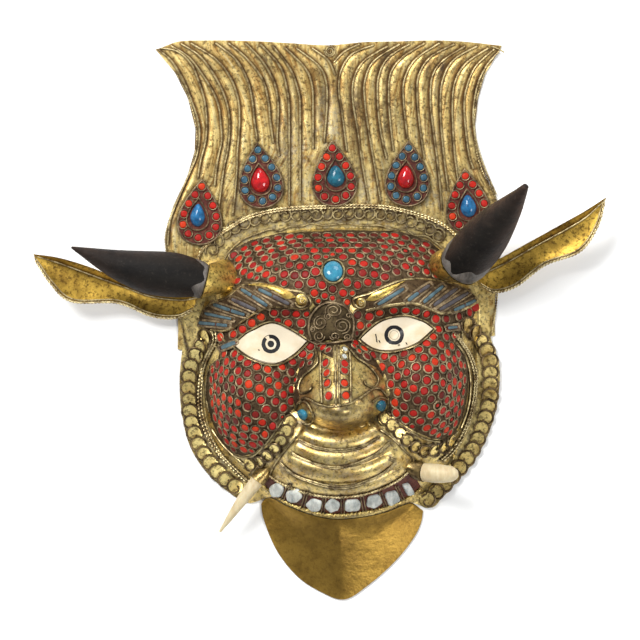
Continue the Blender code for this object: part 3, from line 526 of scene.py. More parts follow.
LOOKS = {
    "face": sheet_metal("face_gilt", (0.88, 0.68, 0.25), (0.46, 0.30, 0.080), (0.060, 0.032, 0.012),
                        powder=0.62),
    "bed": sheet_metal("coral_bed", (0.130, 0.084, 0.042), (0.064, 0.038, 0.019), (0.022, 0.013, 0.008),
                       roughness=(0.55, 0.85), powder=0.4, dent=0.001, powder_colour=(0.25, 0.18, 0.10)),
    "crown": sheet_metal("hair_brass", (0.90, 0.69, 0.26), (0.58, 0.41, 0.135), (0.080, 0.046, 0.018),
                         powder=0.9, flow=True),
    "chin": sheet_metal("chin_gold", (0.34, 0.205, 0.038), (0.225, 0.130, 0.023), (0.085, 0.045, 0.012),
                        roughness=(0.34, 0.5), dirt_share=0.45, dent=0.0014, speck=0.3),
    "ear": sheet_metal("ear_gold", (0.69, 0.44, 0.075), (0.29, 0.17, 0.028), (0.065, 0.032, 0.009),
                       roughness=(0.36, 0.52), dirt_share=0.65),
    "socket": sheet_metal("socket_gilt", (0.82, 0.60, 0.16), (0.42, 0.26, 0.060), (0.055, 0.030, 0.010)),
    "collet": sheet_metal("fang_collet", (0.36, 0.25, 0.090), (0.115, 0.076, 0.034), (0.022, 0.013, 0.008)),
    "ground": sheet_metal("medallion_ground", (0.090, 0.064, 0.030), (0.04, 0.026, 0.013),
                          (0.018, 0.011, 0.007), roughness=(0.55, 0.8), dent=0.0008),
    "wire": wire_metal("wire_brass", (0.56, 0.45, 0.22), (0.09, 0.058, 0.028)),
    "pale_wire": wire_metal("pale_wire", (0.72, 0.60, 0.32), (0.20, 0.13, 0.055), share=0.35),
    "dark_wire": wire_metal("dark_wire", (0.38, 0.29, 0.15), (0.055, 0.036, 0.020), share=0.6),
    "ring_wire": wire_metal("ring_wire", (0.42, 0.32, 0.185), (0.095, 0.062, 0.036), (0.5, 0.75), share=0.6),
    # Dark brass, darkened further to stand as painted shade along the discs' edges.
    "curl_wire_painted_shade": wire_metal("curl_wire_painted_shade", (0.25, 0.175, 0.085), (0.045, 0.028, 0.014), share=0.65),
    "disc": sheet_metal("disc_gilt", (0.98, 0.80, 0.32), (0.76, 0.57, 0.20), (0.080, 0.044, 0.016),
                        dirt_share=0.3),
    "solder": wire_metal("solder", (0.80, 0.62, 0.22), (0.30, 0.19, 0.06), share=0.4),
    # Dark line beside the hair wires: painted shadow, tinted as oxide.
    "oxide": wire_metal("oxide_shadow_line", (0.26, 0.135, 0.038), (0.060, 0.034, 0.016), (0.6, 0.8), share=0.8),
    "coral": coral(),
    "forehead_turquoise": stone("forehead_turquoise", (0.045, 0.25, 0.36), (0.012, 0.12, 0.20)),
    "turquoise": stone("turquoise", (0.088, 0.148, 0.168), (0.038, 0.064, 0.076), roughness=0.45, coat=0.0),
    "grey_stone": stone("grey_stone", (0.095, 0.090, 0.095), (0.040, 0.028, 0.030), roughness=0.5, coat=0.0),
    "blue_dots": stone("blue_dots", (0.045, 0.125, 0.175), (0.018, 0.045, 0.072), roughness=0.4, coat=0.1),
    "blue_glass": stone("blue_glass", (0.025, 0.165, 0.35), (0.008, 0.055, 0.14), roughness=0.2, coat=0.3),
    "teal_glass": stone("teal_glass", (0.020, 0.15, 0.21), (0.008, 0.05, 0.085), roughness=0.2, coat=0.3),
    "red_glass": stone("red_glass", (0.50, 0.008, 0.010), (0.20, 0.003, 0.005), roughness=0.12, coat=0.7),
    "resin": resin(),
    "ink": stone("ink", (0.012, 0.011, 0.010), (0.006, 0.005, 0.005), roughness=0.6, coat=0.0),
    "horn": horn_look(),
    "glue": bone_look("old_glue", (0.13, 0.115, 0.10), (0.045, 0.038, 0.032), 0.5),
    "fang": bone_look("bone", (0.60, 0.51, 0.32), (0.48, 0.37, 0.21), 0.25),
    "shell": bone_look("shell", (0.62, 0.63, 0.57), (0.27, 0.29, 0.27), 0.4),
}


SURFACE_VALUES = ("tint", "grime_and_painted_light", "dust", "soot", "rust", "flow_across", "flow_down")
SHARP_ANGLE = 50.0
STRAND_MIDDLE = 0.74
STRAND_SWELL = 0.26
ROPE_PITCH = 0.0024


class Work:
    """Gathers the surfaces of one piece, in the relief's coordinates, and makes its object."""

    def __init__(self):
        self.points = []
        self.faces = []
        self.values = {key: [] for key in SURFACE_VALUES}
        self.tint = 0.5

    def add(self, point, grime_and_painted_light=0.0, dust=0.0, **more):
        self.points.append(tuple(point))
        given = {"tint": self.tint, "grime_and_painted_light": grime_and_painted_light, "dust": dust, **more}
        for key, values in self.values.items():
            values.append(given.get(key, 0.0))
        return len(self.points) - 1

    def row(self, points, grime_and_painted_light=0.0):
        return [self.add(point, grime_and_painted_light) for point in points]

    def bridge(self, first, second, closed=True):
        count = len(first)
        for i in range(count if closed else count - 1):
            j = (i + 1) % count
            self.faces.append((first[i], first[j], second[j], second[i]))

    def fan(self, centre, ring, flip=False):
        tip = self.add(centre)
        for i in range(len(ring)):
            j = (i + 1) % len(ring)
            self.faces.append((tip, ring[j], ring[i]) if flip else (tip, ring[i], ring[j]))

    def loft(self, rings, start=None, end=None, ring_grime_and_painted_light=None):
        rows = [self.row(ring, grime_and_painted_light) for ring, grime_and_painted_light in zip(rings, ring_grime_and_painted_light or [0.0] * len(rings))]
        for first, second in zip(rows, rows[1:]):
            self.bridge(first, second)
        if start is not None:
            self.fan(start, rows[0], flip=True)
        if end is not None:
            self.fan(end, rows[-1])

    def tube(self, path, radius, sides=6, closed=False, squash=1.0, lobes=0, pitch=ROPE_PITCH,
             taper=0.0):
        """A wire along a path of points. With lobes it is a twisted cord of that many strands."""
        count = len(path)
        side = None
        rows = []
        travelled = 0.0
        for i, point in enumerate(path):
            before = path[(i - 1) % count if closed else max(i - 1, 0)]
            after = path[(i + 1) % count if closed else min(i + 1, count - 1)]
            along = (after - before).normalized()
            if side is None:
                side = along.cross(Vector((0, 0, 1)))
                if side.length < 0.2:
                    side = along.cross(Vector((0, 1, 0)))
            side = (side - along * side.dot(along)).normalized()
            up = side.cross(along)
            turn = math.tau * travelled / pitch
            share = 1.0 - taper * i / max(count - 1, 1)
            ring = []
            for k in range(sides):
                angle = math.tau * k / sides
                reach = radius * share
                if lobes:
                    reach *= STRAND_MIDDLE + STRAND_SWELL * math.cos(lobes * angle - turn)
                sideways = side * reach * math.cos(angle)
                ring.append(self.add(point + sideways + up * reach * squash * math.sin(angle)))
            rows.append(ring)
            if i + 1 < count:
                travelled += (path[i + 1] - point).length
        for first, second in zip(rows, rows[1:]):
            self.bridge(first, second)
        if closed:
            self.bridge(rows[-1], rows[0])
        else:
            self.fan(path[0], rows[0], flip=True)
            self.fan(path[-1], rows[-1])

    def make(self, name, look, slot, *replaced):
        """Makes the object, with a look and the solids that it stands for, which it hides; the slot is not
        used.
        """
        mesh = bpy.data.meshes.new(name)
        mesh.from_pydata([tuple(Vector(p) + OFFSET) for p in self.points], [], self.faces)
        for key, values in self.values.items():
            if any(values):
                layer = mesh.attributes.new(key, "FLOAT", "POINT")
                layer.data.foreach_set("value", values)
        mesh.materials.append(LOOKS[look])
        mesh.shade_smooth()
        mesh.set_sharp_from_angle(angle=math.radians(SHARP_ANGLE))
        piece = bpy.data.objects.new(name, mesh)
        bpy.context.scene.collection.objects.link(piece)
        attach(piece, "root")
        if replaced:
            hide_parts(*replaced)


# Plan positions of every wire and setting, for the dirt and painted shade beside them.
WIRE_SPOTS = []


def course(pixels, surface, lift, step=0.8, closed=False):
    """Points a step of pixels apart on a smooth line through pixels, laid on a surface."""
    points = list(pixels)
    spans = len(points) if closed else len(points) - 1
    path = []
    for i in range(spans):
        if closed:
            near = [points[(i + k) % len(points)] for k in (-1, 0, 1, 2)]
        else:
            near = [points[clamp(i + k, 0, spans)] for k in (-1, 0, 1, 2)]
        length = math.dist(near[1], near[2])
        count = max(1, round(length / step))
        for k in range(count):
            path.append(tuple(hermite(*axis, k / count) for axis in zip(*near)))
    if not closed:
        path.append(points[-1])
    WIRE_SPOTS.extend(spot(p) for p in path)
    return [surface(p, lift) for p in path]


SPIRAL_STEPS = 22


def spiral_pixels(centre, radius, start, turns, inner=0.22):
    """A scroll: from its outer end at the start angle, winding in. Negative turns wind clockwise."""
    made = []
    for k in range(SPIRAL_STEPS + 1):
        share = k / SPIRAL_STEPS
        angle = math.radians(start + 360 * turns * share)
        reach = radius * mix(1.0, inner, share**1.2)
        made.append((centre[0] + reach * math.cos(angle), centre[1] - reach * math.sin(angle)))
    return made


# Wirework on the face, as pixels of the photograph.
FINE_WIRE = 0.00045
WIRE = 0.0006
ROPE = 0.0010
ROPE_LIFT = 0.0007
ROPE_STEP = 0.45
SECOND_ROPE = 0.85
FOREHEAD_ROPE = ((198, 262), (201, 249), (212, 238), (228, 227), (250, 215), (280, 208), (330, 205),
                 (380, 205), (420, 213), (445, 224), (458, 235))
FOREHEAD_SCROLLS = ((212, 250), (222, 236), (233, 228), (250, 221), (270, 216.5), (290, 215), (315, 214),
                    (340, 213.5), (365, 213.5), (385, 214.5), (403, 218), (420, 224), (434, 232), (447, 242))
FOREHEAD_LOWER = ((222, 262), (230, 250), (243, 239), (260, 232), (270, 229), (280, 230), (290, 226),
                  (300, 226), (312, 223), (325, 225), (345, 223), (362, 225), (380, 225), (393, 229),
                  (405, 229), (415, 235), (427, 236), (437, 243), (445, 250))
LEFT_ROPE = ((212, 328), (214, 342), (208, 354), (202, 368), (199, 382), (198, 397), (199, 413), (203, 428),
             (210, 443), (220, 457), (233, 470), (246, 482))
RIGHT_ROPE = ((456, 335), (464, 345), (472, 358), (477, 375), (477, 392), (474, 410), (469, 426), (462, 440),
              (452, 453), (443, 461))
LEFT_DISCS = ((206, 337), (198.5, 349), (191.5, 361), (188.5, 373), (187.5, 385), (188, 400), (189.3, 416),
              (193, 432), (198.7, 447), (207, 460.5), (219, 475), (231, 485), (243, 491.5))
RIGHT_DISCS = ((467, 325), (477, 335), (486, 347), (491, 360), (491.5, 384), (491, 400), (487.3, 415),
               (482.5, 430), (476.5, 445), (467.5, 459.5), (455, 475), (441, 489.5), (426, 502))
LEFT_BAND = ((290, 422), (286, 431.5), (280.5, 441.5), (273, 450.5), (264, 458.5), (254, 464), (243, 463))
RIGHT_BAND = ((385, 419), (394, 427.5), (404.5, 437.5), (415.5, 446.5), (426, 451), (437, 449.5), (447, 445),
              (455, 437.5))
DISC_PITCH = 11.4
DISC_RADIUS = 8.6
DISC_RISE = 0.0016
BAND_PITCH = 10.2
BAND_RADIUS = 6.6
BAND_RISE = 0.0009
CHEEK_WIRES = (
    ((283, 420), (275, 432), (264, 446), (254, 455), (242, 458), (230, 454)),
    ((297, 436), (283, 453), (273, 468), (270, 478)),
    ((268, 452), (262, 460), (256, 468), (250, 476)),
    ((385, 416), (400, 425), (415, 434), (430, 440), (447, 441), (458, 432)),
    ((380, 430), (392, 438), (405, 451), (413, 459), (410, 467)),
    ((214, 345), (220, 350), (222, 358), (216, 366), (209, 372), (206, 384), (206, 398), (209, 412)),
    ((212, 430), (222, 444), (233, 455), (246, 466), (256, 474)),
    ((453, 341), (461, 350), (467, 362), (470, 378), (470, 396), (467, 412), (461, 428)),
)
MUZZLE_ECHO = 1.8
MUZZLE_WIRES = (
    ((299, 439), (310, 444), (320, 447), (340, 449), (360, 446), (378, 436)),
    ((293, 452), (302, 457), (318, 463), (335, 466), (355, 462), (375, 453), (386, 444), (389, 442)),
    ((281, 462), (290, 470), (300, 476), (325, 484), (350, 485), (375, 476), (390, 466), (394, 460),
     (390, 457)),
)
MOUTH_ROPE = ((270, 475), (278, 481), (290, 487), (310, 493), (335, 496), (360, 494), (380, 488), (398, 479),
              (410, 469))
TEETH_FOOT = ((264, 487), (272, 495), (285, 503), (300, 509), (330, 516), (360, 514), (385, 509), (405, 501),
              (421, 490))
NOSE_WIRES = (
    ((316, 350), (318, 362), (311, 370), (303, 377), (299, 386), (301, 393), (309, 391), (312, 387)),
    ((350, 350), (357, 358), (366, 364), (374, 372), (378, 380), (374, 387), (366, 385), (364, 381)),
    ((300, 403), (303, 398), (310, 399), (318, 403), (330, 406), (345, 404), (360, 397), (372, 389),
     (380, 389), (387, 397)),
    ((335, 346), (335.5, 370), (336, 405)),
    ((338.5, 346), (339, 370), (339.5, 405)),
    ((321, 352), (321, 375), (322, 402)),
    ((349, 352), (350, 375), (350, 402)),
    ((296, 409), (299, 402), (307, 402), (312, 410), (314, 418), (309, 424), (301, 423)),
    ((372, 401), (379, 397), (387, 400), (388, 410), (383, 418)),
)
LEFT_EYE_UPPER = ((236, 346), (250, 333), (271, 323), (290, 330), (307, 341))
LEFT_EYE_LOWER = ((236, 346), (252, 358.5), (274, 364), (293, 355), (307, 341))
RIGHT_EYE_UPPER = ((360, 339), (380, 322), (403, 316), (420, 321), (432, 330))
RIGHT_EYE_LOWER = ((360, 339), (374, 348.5), (393, 351), (415, 345), (432, 330))
LEFT_BROW_OUTER = ((200, 322), (205, 310), (215, 303), (230, 297), (245, 286), (262, 285), (285, 290),
                   (300, 292), (308, 296), (311, 302), (308, 306), (300, 308), (285, 306), (270, 307),
                   (258, 311), (245, 320), (235, 328), (225, 331), (213, 330))
RIGHT_BROW_OUTER = ((355, 307), (353, 302), (355, 297), (370, 293), (385, 287), (405, 281), (430, 281),
                    (455, 286), (468, 292), (474, 298), (475, 303), (463, 309), (453, 312), (440, 313),
                    (430, 309), (415, 303), (400, 303), (380, 306), (366, 310))
BROW_STRIPS = (
    ((201, 323), (229, 326)), ((207, 314), (233, 319)), ((216, 305), (246, 314)), ((234, 300), (257, 309)),
    ((243, 291), (268, 305)), ((260, 291), (289, 303)), ((224, 348.5), (237, 343.5)),
    ((378, 303), (403, 290)), ((407, 300), (428, 287)), ((422, 302), (441, 288)), ((432, 305), (455, 290)),
    ((438, 309), (466, 294)), ((452, 310), (474, 301)), ((446, 329), (455, 327)),
)
TEMPLE_STRIPS = (6, 13)
MEDALLION_SPIRALS = ((334, 311, 7.5, 200, -1.4), (322, 323, 7, 90, 1.3), (341, 326, 7.5, 270, 1.4),
                     (321, 336, 5.5, 0, -1.2), (335, 336, 4, 180, 1.2), (346, 337, 4, 40, -1.2),
                     (329, 317, 3.2, 120, 1.0), (314, 329, 3.2, 100, 1.1), (347, 316, 3, 300, 1.0))
MEDALLION_RING = ((312, 340), (309, 330), (310, 318), (316, 308), (326, 303), (335, 303), (344, 307),
                  (350, 315), (352, 326), (350, 338))
MEDALLION_MIDDLE = (331, 322)
MEDALLION_FOOT = ((310, 341), (322, 345), (336, 344), (352, 341))
TEMPLE_WIRES = (
    ((211, 331), (214, 345)), ((220, 334), (226, 342), (232, 347)), ((459, 323), (462, 333), (460, 341)),
    ((236, 262), (232, 270), (232, 282), (236, 290)), ((444, 256), (446, 266), (441, 276), (448, 283)),
)
# Ropes: the course, the thickness in shares of ROPE, and how far the thinner rope beside it is shifted.
ROPES = (
    (FOREHEAD_ROPE, 1.0, (0, 2.4)), (LEFT_ROPE, 1.0, (3.0, -0.8)), (RIGHT_ROPE, 1.0, (-3.0, -0.8)),
    (MOUTH_ROPE, 1.1, None),
)
FACE_WIRE_LIFT = 0.0005
ECHO_LIFT = 0.0003
LID_LIFT = 0.0012
LID_GROWTH = 1.05
LID_MARGIN = 1.2
SCROLL_STEP = 0.9
SCROLL_PITCH = 10.6
SCROLL_RADII = (7.0, 7.8)
SCROLL_TURNS = (1.0, 1.3)
SCROLL_TURNED = 150
SCROLL_INNER = 0.42
SCROLL_LIFT = 0.0007


def scroll(work, centre, radius, bearing, turns, lift, wire, inner=0.22):
    """A spiral of wire on the face; inner is the share of its radius that it winds in to."""
    pixels = spiral_pixels(centre, radius, bearing, turns, inner)
    work.tube(course(pixels, on_face, lift, SCROLL_STEP), wire, 6)


def spaced(pixels, pitch):
    """Points at an even pitch along a smooth line through pixels, each with its heading in degrees."""
    steps = 400
    fine = [spline_point(pixels, k / steps) for k in range(steps + 1)]
    made, run = [], 0.0
    for before, after in zip(fine, fine[1:]):
        run += math.dist(before, after)
        if run >= pitch * len(made):
            made.append((before, math.degrees(math.atan2(before[1] - after[1], after[0] - before[0]))))
    return made


# A rim disc's rings: share of its radius, how far it is sunk in shares of its rise, and its dirt and painted
# shade.
DISC_RINGS = ((1.0, 1.1, 1.0), (1.0, 0.0, 0.9), (0.94, 0.0, 0.35), (0.8, 0.0, 0.0), (0.55, 0.0, 0.0),
              (0.28, 0.0, 0.0))
DISC_LEAN = 0.55
DISC_SIDES = 24
DISC_LOWEST = -0.0003
CURL_STEPS = 32
CURL_BEARING = 70
CURL_SWEEP = 330
CURL_REACH = 0.94
CURL_WINDING = 0.74
CURL_LIFT = 0.0005


def disc_height(share, from_ahead):
    """Height of a rim disc, in shares of its rise: nearly flat, and leaning up over the one before."""
    return 1.03 - 0.3 * share**8 - DISC_LEAN * share * math.cos(from_ahead)


def rim_disc(discs, curls, centre, size, heading, hand, rise):
    """A thin gilt disc that overlaps the one before it, edged by a wire that ends in a small curl."""
    x, y = spot(centre)
    point, along, across, out = face_frame(x, y)
    size *= RANDOM.uniform(0.95, 1.05)
    radius = size * PIXEL
    ahead = math.radians(heading)
    rings = []
    for share, sunk, _ in DISC_RINGS:
        ring = []
        for k in range(DISC_SIDES):
            angle = math.tau * k / DISC_SIDES
            reach = radius * share
            plan = along * reach * math.cos(angle) + across * reach * math.sin(angle)
            height = rise * (disc_height(share, angle - ahead) - sunk)
            ring.append(point + plan + out * max(height, DISC_LOWEST))
        rings.append(ring)
    # The disc's outer edge is darkened as painted shade.
    discs.loft(rings, None, point + out * rise * disc_height(0.0, 0.0), [dirt_and_shade for _, _, dirt_and_shade in DISC_RINGS])
    curl = []
    for k in range(CURL_STEPS + 1):
        turned = k / CURL_STEPS
        angle = math.radians(heading + hand * (CURL_BEARING + CURL_SWEEP * turned))
        reach = size * CURL_REACH * (1 - CURL_WINDING * turned**4)
        curl.append((centre[0] + reach * math.cos(angle), centre[1] - reach * math.sin(angle)))

    def over_disc(pixel, lift):
        share = math.dist(pixel, centre) / size
        angle = math.atan2(centre[1] - pixel[1], pixel[0] - centre[0])
        return on_face(pixel, lift + rise * max(disc_height(share, angle - ahead), 0.1))

    curls.tube(course(curl, over_disc, CURL_LIFT, SCROLL_STEP), FINE_WIRE * 1.5, 6)


def rim_ornament():
    curls = Work()
    for side, rim, band, hand, look in (("left", LEFT_DISCS, LEFT_BAND, 1, "disc"),
                                        ("right", RIGHT_DISCS, RIGHT_BAND, -1, "face")):
        discs = Work()
        for centre, heading in spaced(rim, DISC_PITCH):
            rim_disc(discs, curls, centre, DISC_RADIUS, heading, hand, DISC_RISE)
        for centre, heading in spaced(band, BAND_PITCH):
            rim_disc(discs, curls, centre, BAND_RADIUS, heading, -hand, BAND_RISE)
        discs.make(f"rim_discs_{side}", look, "face_brass")
    curls.make("rim_scrolls", "curl_wire_painted_shade", "wire_brass")


def ropes():
    cords = Work()
    for pixels, size, shift in ROPES:
        cords.tube(course(pixels, on_face, ROPE_LIFT, ROPE_STEP), ROPE * size, 10, lobes=2)
        if shift:
            beside = shifted(pixels, *shift)
            cords.tube(course(beside, on_face, ROPE_LIFT, ROPE_STEP), ROPE * size * SECOND_ROPE, 10, lobes=2)
    cords.make("rope_wires", "pale_wire", "wire_brass")


def face_wires():
    plain = Work()
    for group in (CHEEK_WIRES, MUZZLE_WIRES, NOSE_WIRES, TEMPLE_WIRES, (FOREHEAD_LOWER,)):
        for pixels in group:
            plain.tube(course(pixels, on_face, FACE_WIRE_LIFT), WIRE, 6)
    for pixels in MUZZLE_WIRES:
        plain.tube(course(shifted(pixels, 0, MUZZLE_ECHO), on_face, ECHO_LIFT), FINE_WIRE, 6)
    for upper, lower in ((LEFT_EYE_UPPER, LEFT_EYE_LOWER), (RIGHT_EYE_UPPER, RIGHT_EYE_LOWER)):
        for pixels in (upper, lower):
            middle = Vector(upper[2]).lerp(Vector(lower[2]), 0.5)
            arms = [Vector(p) - middle for p in pixels]
            grown = [tuple(middle + arm * LID_GROWTH + arm.normalized() * LID_MARGIN) for arm in arms]
            plain.tube(course(grown, on_face, LID_LIFT), WIRE, 6, squash=2.0)
    for pixels in (LEFT_BROW_OUTER, RIGHT_BROW_OUTER):
        plain.tube(course(pixels, on_face, BROW_THICKNESS * 0.6), WIRE * 1.1, 8, squash=1.8)
    plain.make("face_wires", "wire", "wire_brass")
    scrolls = Work()
    for centre, heading in spaced(FOREHEAD_SCROLLS, SCROLL_PITCH):
        turns = -RANDOM.uniform(*SCROLL_TURNS)
        radius = RANDOM.uniform(*SCROLL_RADII)
        scroll(scrolls, centre, radius, heading + SCROLL_TURNED, turns, SCROLL_LIFT, FINE_WIRE * 1.2,
               SCROLL_INNER)
    scrolls.make("scroll_wires", "wire", "wire_brass")


# Coral: where it lies, and what it keeps clear of, as pixels.
CORAL_ZONES = (
    ((226, 262), (231, 250), (250, 240), (280, 233), (340, 230), (400, 231), (430, 241), (444, 254),
     (440, 270), (440, 282), (405, 280), (385, 286), (368, 292), (353, 298), (349, 309), (340, 303),
     (326, 301), (315, 306), (310, 295), (300, 290), (285, 288), (262, 283), (246, 283), (234, 290),
     (228, 284)),
    ((212, 330), (224, 333), (236, 328), (246, 320), (258, 311), (270, 308), (285, 307), (300, 309),
     (309, 307), (311, 315), (308, 330), (313, 340), (326, 343), (333, 345), (333, 358), (317, 350),
     (313, 366), (302, 375), (296, 388), (300, 397), (294, 408), (284, 419), (275, 431), (264, 445),
     (253, 454), (242, 456), (230, 452), (219, 438), (211, 420), (207, 400), (206, 382), (209, 366),
     (219, 358), (220, 347)),
    ((352, 315), (355, 309), (366, 311), (380, 307), (400, 304), (415, 304), (430, 310), (440, 315),
     (455, 313), (470, 306), (476, 312), (470, 325), (458, 335), (456, 345), (463, 352), (467, 365),
     (469, 380), (467, 400), (463, 418), (456, 432), (446, 440), (431, 438), (415, 431), (400, 422),
     (390, 414), (389, 398), (384, 378), (376, 367), (362, 360), (349, 347), (343, 343), (350, 341)),
)
NOSE_CHIPS = ((326, 363), (327, 373), (327.5, 383), (329, 395.5), (344, 363.5), (344, 370.5),
              (344, 383), (345.5, 395))
PALE_CHIPS = ((344.5, 349.5), (344, 356.5))
CHIP_RADII = (5.4, 4.4, 3.6)
FOREHEAD_STONE = (333, 272)
FOREHEAD_STONE_CLEAR = 12.2
TEMPLE_STRIP_CLEAR = 4.5
OUTLINE_CLEAR = 1.2
EDGE_SHARE = 0.84
PACKING = 0.96
CORAL_X = (200, 480)
CORAL_Y = (228, 460)
CORAL_GRID = 1.3
CORAL_RING_WIRE = 0.00040
RING_SIDES = 14
RING_LIFT = 0.0006
CHIP_SIDES = 11
CHIP_HEIGHT = 0.0010
CHIP_PROFILE = ((1.0, -0.0003), (1.0, 0.62), (0.86, 0.9), (0.5, 1.0))
CHIP_TILT = 0.08
DARK_CHIPS = 0.16
DARK_TINTS = (0.0, 0.35)
BRIGHT_TINTS = (0.45, 1.0)
BROKEN_CHIPS = 0.985
BROKEN_SHARE = 0.4
WHOLE_SHARES = (0.74, 0.86)
RING_INSET = 0.45
RING_SIZES = (0.92, 1.0)
NOSE_CHIP_RADIUS = 4.6
PALE_CHIP_RADIUS = 3.6
SHADED_FROM = 300
SHADED_OVER = 50


def edge_distance(places, outline):
    """Signed distance in pixels from each place to an outline, positive inside."""
    corners = np.array(outline, float)
    ends = np.roll(corners, -1, axis=0)
    inside = np.zeros(len(places), bool)
    nearest = np.full(len(places), 1e9)
    for (ax, ay), (bx, by) in zip(corners, ends):
        span = np.array((bx - ax, by - ay))
        share = np.clip(((places - (ax, ay)) @ span) / max(span @ span, 1e-9), 0, 1)
        gap = places - ((ax, ay) + share[:, None] * span)
        nearest = np.minimum(nearest, np.hypot(gap[:, 0], gap[:, 1]))
        crosses = (ay > places[:, 1]) != (by > places[:, 1])
        if by != ay:
            meet = ax + (places[:, 1] - ay) * (bx - ax) / (by - ay)
            inside ^= crosses & (places[:, 0] < meet)
    return np.where(inside, nearest, -nearest)


def coral_layout():
    """Chips packed row by row, measured along the relief, large ones first and smaller ones in the gaps."""
    across, down = np.arange(*CORAL_X, CORAL_GRID), np.arange(*CORAL_Y, CORAL_GRID)
    grid = np.array([(x, y) for y in down for x in across])
    depth = np.max([edge_distance(grid, zone) for zone in CORAL_ZONES], axis=0)
    eye_outlines = [LEFT_EYE_UPPER + LEFT_EYE_LOWER[-2:0:-1], RIGHT_EYE_UPPER + RIGHT_EYE_LOWER[-2:0:-1]]
    for outline in (*eye_outlines, LEFT_BROW_OUTER, RIGHT_BROW_OUTER, MEDALLION_RING):
        depth = np.minimum(depth, -edge_distance(grid, outline) - OUTLINE_CLEAR)
    from_stone = np.hypot(grid[:, 0] - FOREHEAD_STONE[0], grid[:, 1] - FOREHEAD_STONE[1])
    depth = np.minimum(depth, from_stone - FOREHEAD_STONE_CLEAR)
    for number in TEMPLE_STRIPS:
        (ax, ay), (bx, by) = BROW_STRIPS[number]
        middle = np.array(((ax + bx) / 2, (ay + by) / 2))
        depth = np.minimum(depth, np.hypot(*(grid - middle).T) - TEMPLE_STRIP_CLEAR)
    open_spots = depth > CHIP_RADII[-1] - 0.6
    grid, depth = grid[open_spots], depth[open_spots]
    heights = np.array([face_top(*spot(p)) for p in grid]) / PIXEL
    solid = np.column_stack((grid, heights))
    taken, sizes = [], []
    for radius in CHIP_RADII:
        for i in range(len(grid)):
            if depth[i] < radius * EDGE_SHARE:
                continue
            if taken:
                gaps = np.linalg.norm(np.array(taken) - solid[i], axis=1) - np.array(sizes)
                if gaps.min() < radius * PACKING:
                    continue
            taken.append(solid[i])
            sizes.append(radius)
    return [(tuple(point[:2]), size) for point, size in zip(taken, sizes)]


def round_setting(rings, stones, centre, radius, frame_of, stone_share, wire=CORAL_RING_WIRE,
                  height=CHIP_HEIGHT):
    """A ring of wire, and the roughly round chip set inside it."""
    point, along, across, out = frame_of(*spot(centre))
    phase = RANDOM.uniform(0, math.tau)
    loop = []
    for k in range(RING_SIDES):
        angle = math.tau * k / RING_SIDES
        loop.append(point + (along * math.cos(angle) + across * math.sin(angle)) * radius + out * RING_LIFT)
    rings.tube(loop, wire, 5, closed=True, squash=1.5)
    WIRE_SPOTS.append(spot(centre))
    lobes = RANDOM.choice((2, 3, 4))
    chip = []
    lean = (RANDOM.uniform(-CHIP_TILT, CHIP_TILT), RANDOM.uniform(-CHIP_TILT, CHIP_TILT))
    for share, lift in CHIP_PROFILE:
        ring = []
        for k in range(CHIP_SIDES):
            angle = math.tau * k / CHIP_SIDES
            reach = radius * stone_share * share * (1 + 0.07 * math.cos(lobes * angle + phase))
            x, y = reach * math.cos(angle), reach * math.sin(angle)
            rise = height * lift + (x * lean[0] + y * lean[1]) * (lift > 0)
            ring.append(point + along * x + across * y + out * rise)
        chip.append(ring)
    stones.loft(chip, None, point + out * height * 1.02)


def coral_chips():
    """The coral of the face, some chips dark or broken, and the chips down the nose."""
    rings, chips = Work(), Work()
    for centre, size in coral_layout():
        dark = RANDOM.random()
        chips.tint = RANDOM.uniform(*(DARK_TINTS if dark < DARK_CHIPS else BRIGHT_TINTS))
        chips.tint *= 1 - 0.9 * clamp((SHADED_FROM - centre[1]) / SHADED_OVER) * RANDOM.random()
        share = RANDOM.uniform(*WHOLE_SHARES)
        if dark > BROKEN_CHIPS:
            share = BROKEN_SHARE
        radius = (size - RING_INSET) * RANDOM.uniform(*RING_SIZES) * PIXEL
        round_setting(rings, chips, centre, radius, face_frame, share)
    for centre in NOSE_CHIPS:
        chips.tint = RANDOM.uniform(0.5, 1.0)
        round_setting(rings, chips, centre, NOSE_CHIP_RADIUS * PIXEL, face_frame, 0.84)
    rings.make("coral_rings", "ring_wire", "wire_brass")
    chips.make("coral_chips", "coral", "red_glass")
    pale_rings, pale = Work(), Work()
    for centre in PALE_CHIPS:
        round_setting(pale_rings, pale, centre, PALE_CHIP_RADIUS * PIXEL, face_frame, 0.8)
    pale.make("pale_nose_chips", "shell", "shell")
    pale_rings.make("pale_chip_rings", "wire", "wire_brass")


# The face sheet.
FACE_SECTORS = 320
OUTER_RINGS = 118
RIM_STEPS = 8
INNER_RINGS = 22
GRIME_AND_SHADE_REACH = 0.0019
DUST_FROM = 400
DUST_OVER = 60


def plan_ring(share, sector, rim_share=0.0):
    """Plan point of the face's polar grid: share of the dome, then share of the flat rim."""
    bearing = math.tau * sector / FACE_SECTORS
    edge = RIM_RADII[sector]
    inner = min(DOME_RADII[sector], edge - MOUTH_BAND)
    radius = mix(inner * share, edge, rim_share) * SHARE
    x = NOSE_ROOT[0] * SHARE + radius * math.cos(bearing)
    return x, NOSE_ROOT[1] * SHARE + radius * math.sin(bearing)


RIM_RADII = [RIM.radius(math.tau * k / FACE_SECTORS) for k in range(FACE_SECTORS)]
DOME_RADII = [DOME.radius(math.tau * k / FACE_SECTORS) for k in range(FACE_SECTORS)]


class DirtAndShade:
    """Dirt and painted shade gather beside wires and settings: knows how near any plan position is to one."""

    def __init__(self):
        self.tree = KDTree(len(WIRE_SPOTS))
        for i, (x, y) in enumerate(WIRE_SPOTS):
            self.tree.insert((x, y, 0), i)
        self.tree.balance()

    def distance(self, x, y):
        return self.tree.find((x, y, 0))[2]

    def __call__(self, x, y):
        return clamp(1.25 * (1 - self.distance(x, y) / GRIME_AND_SHADE_REACH))
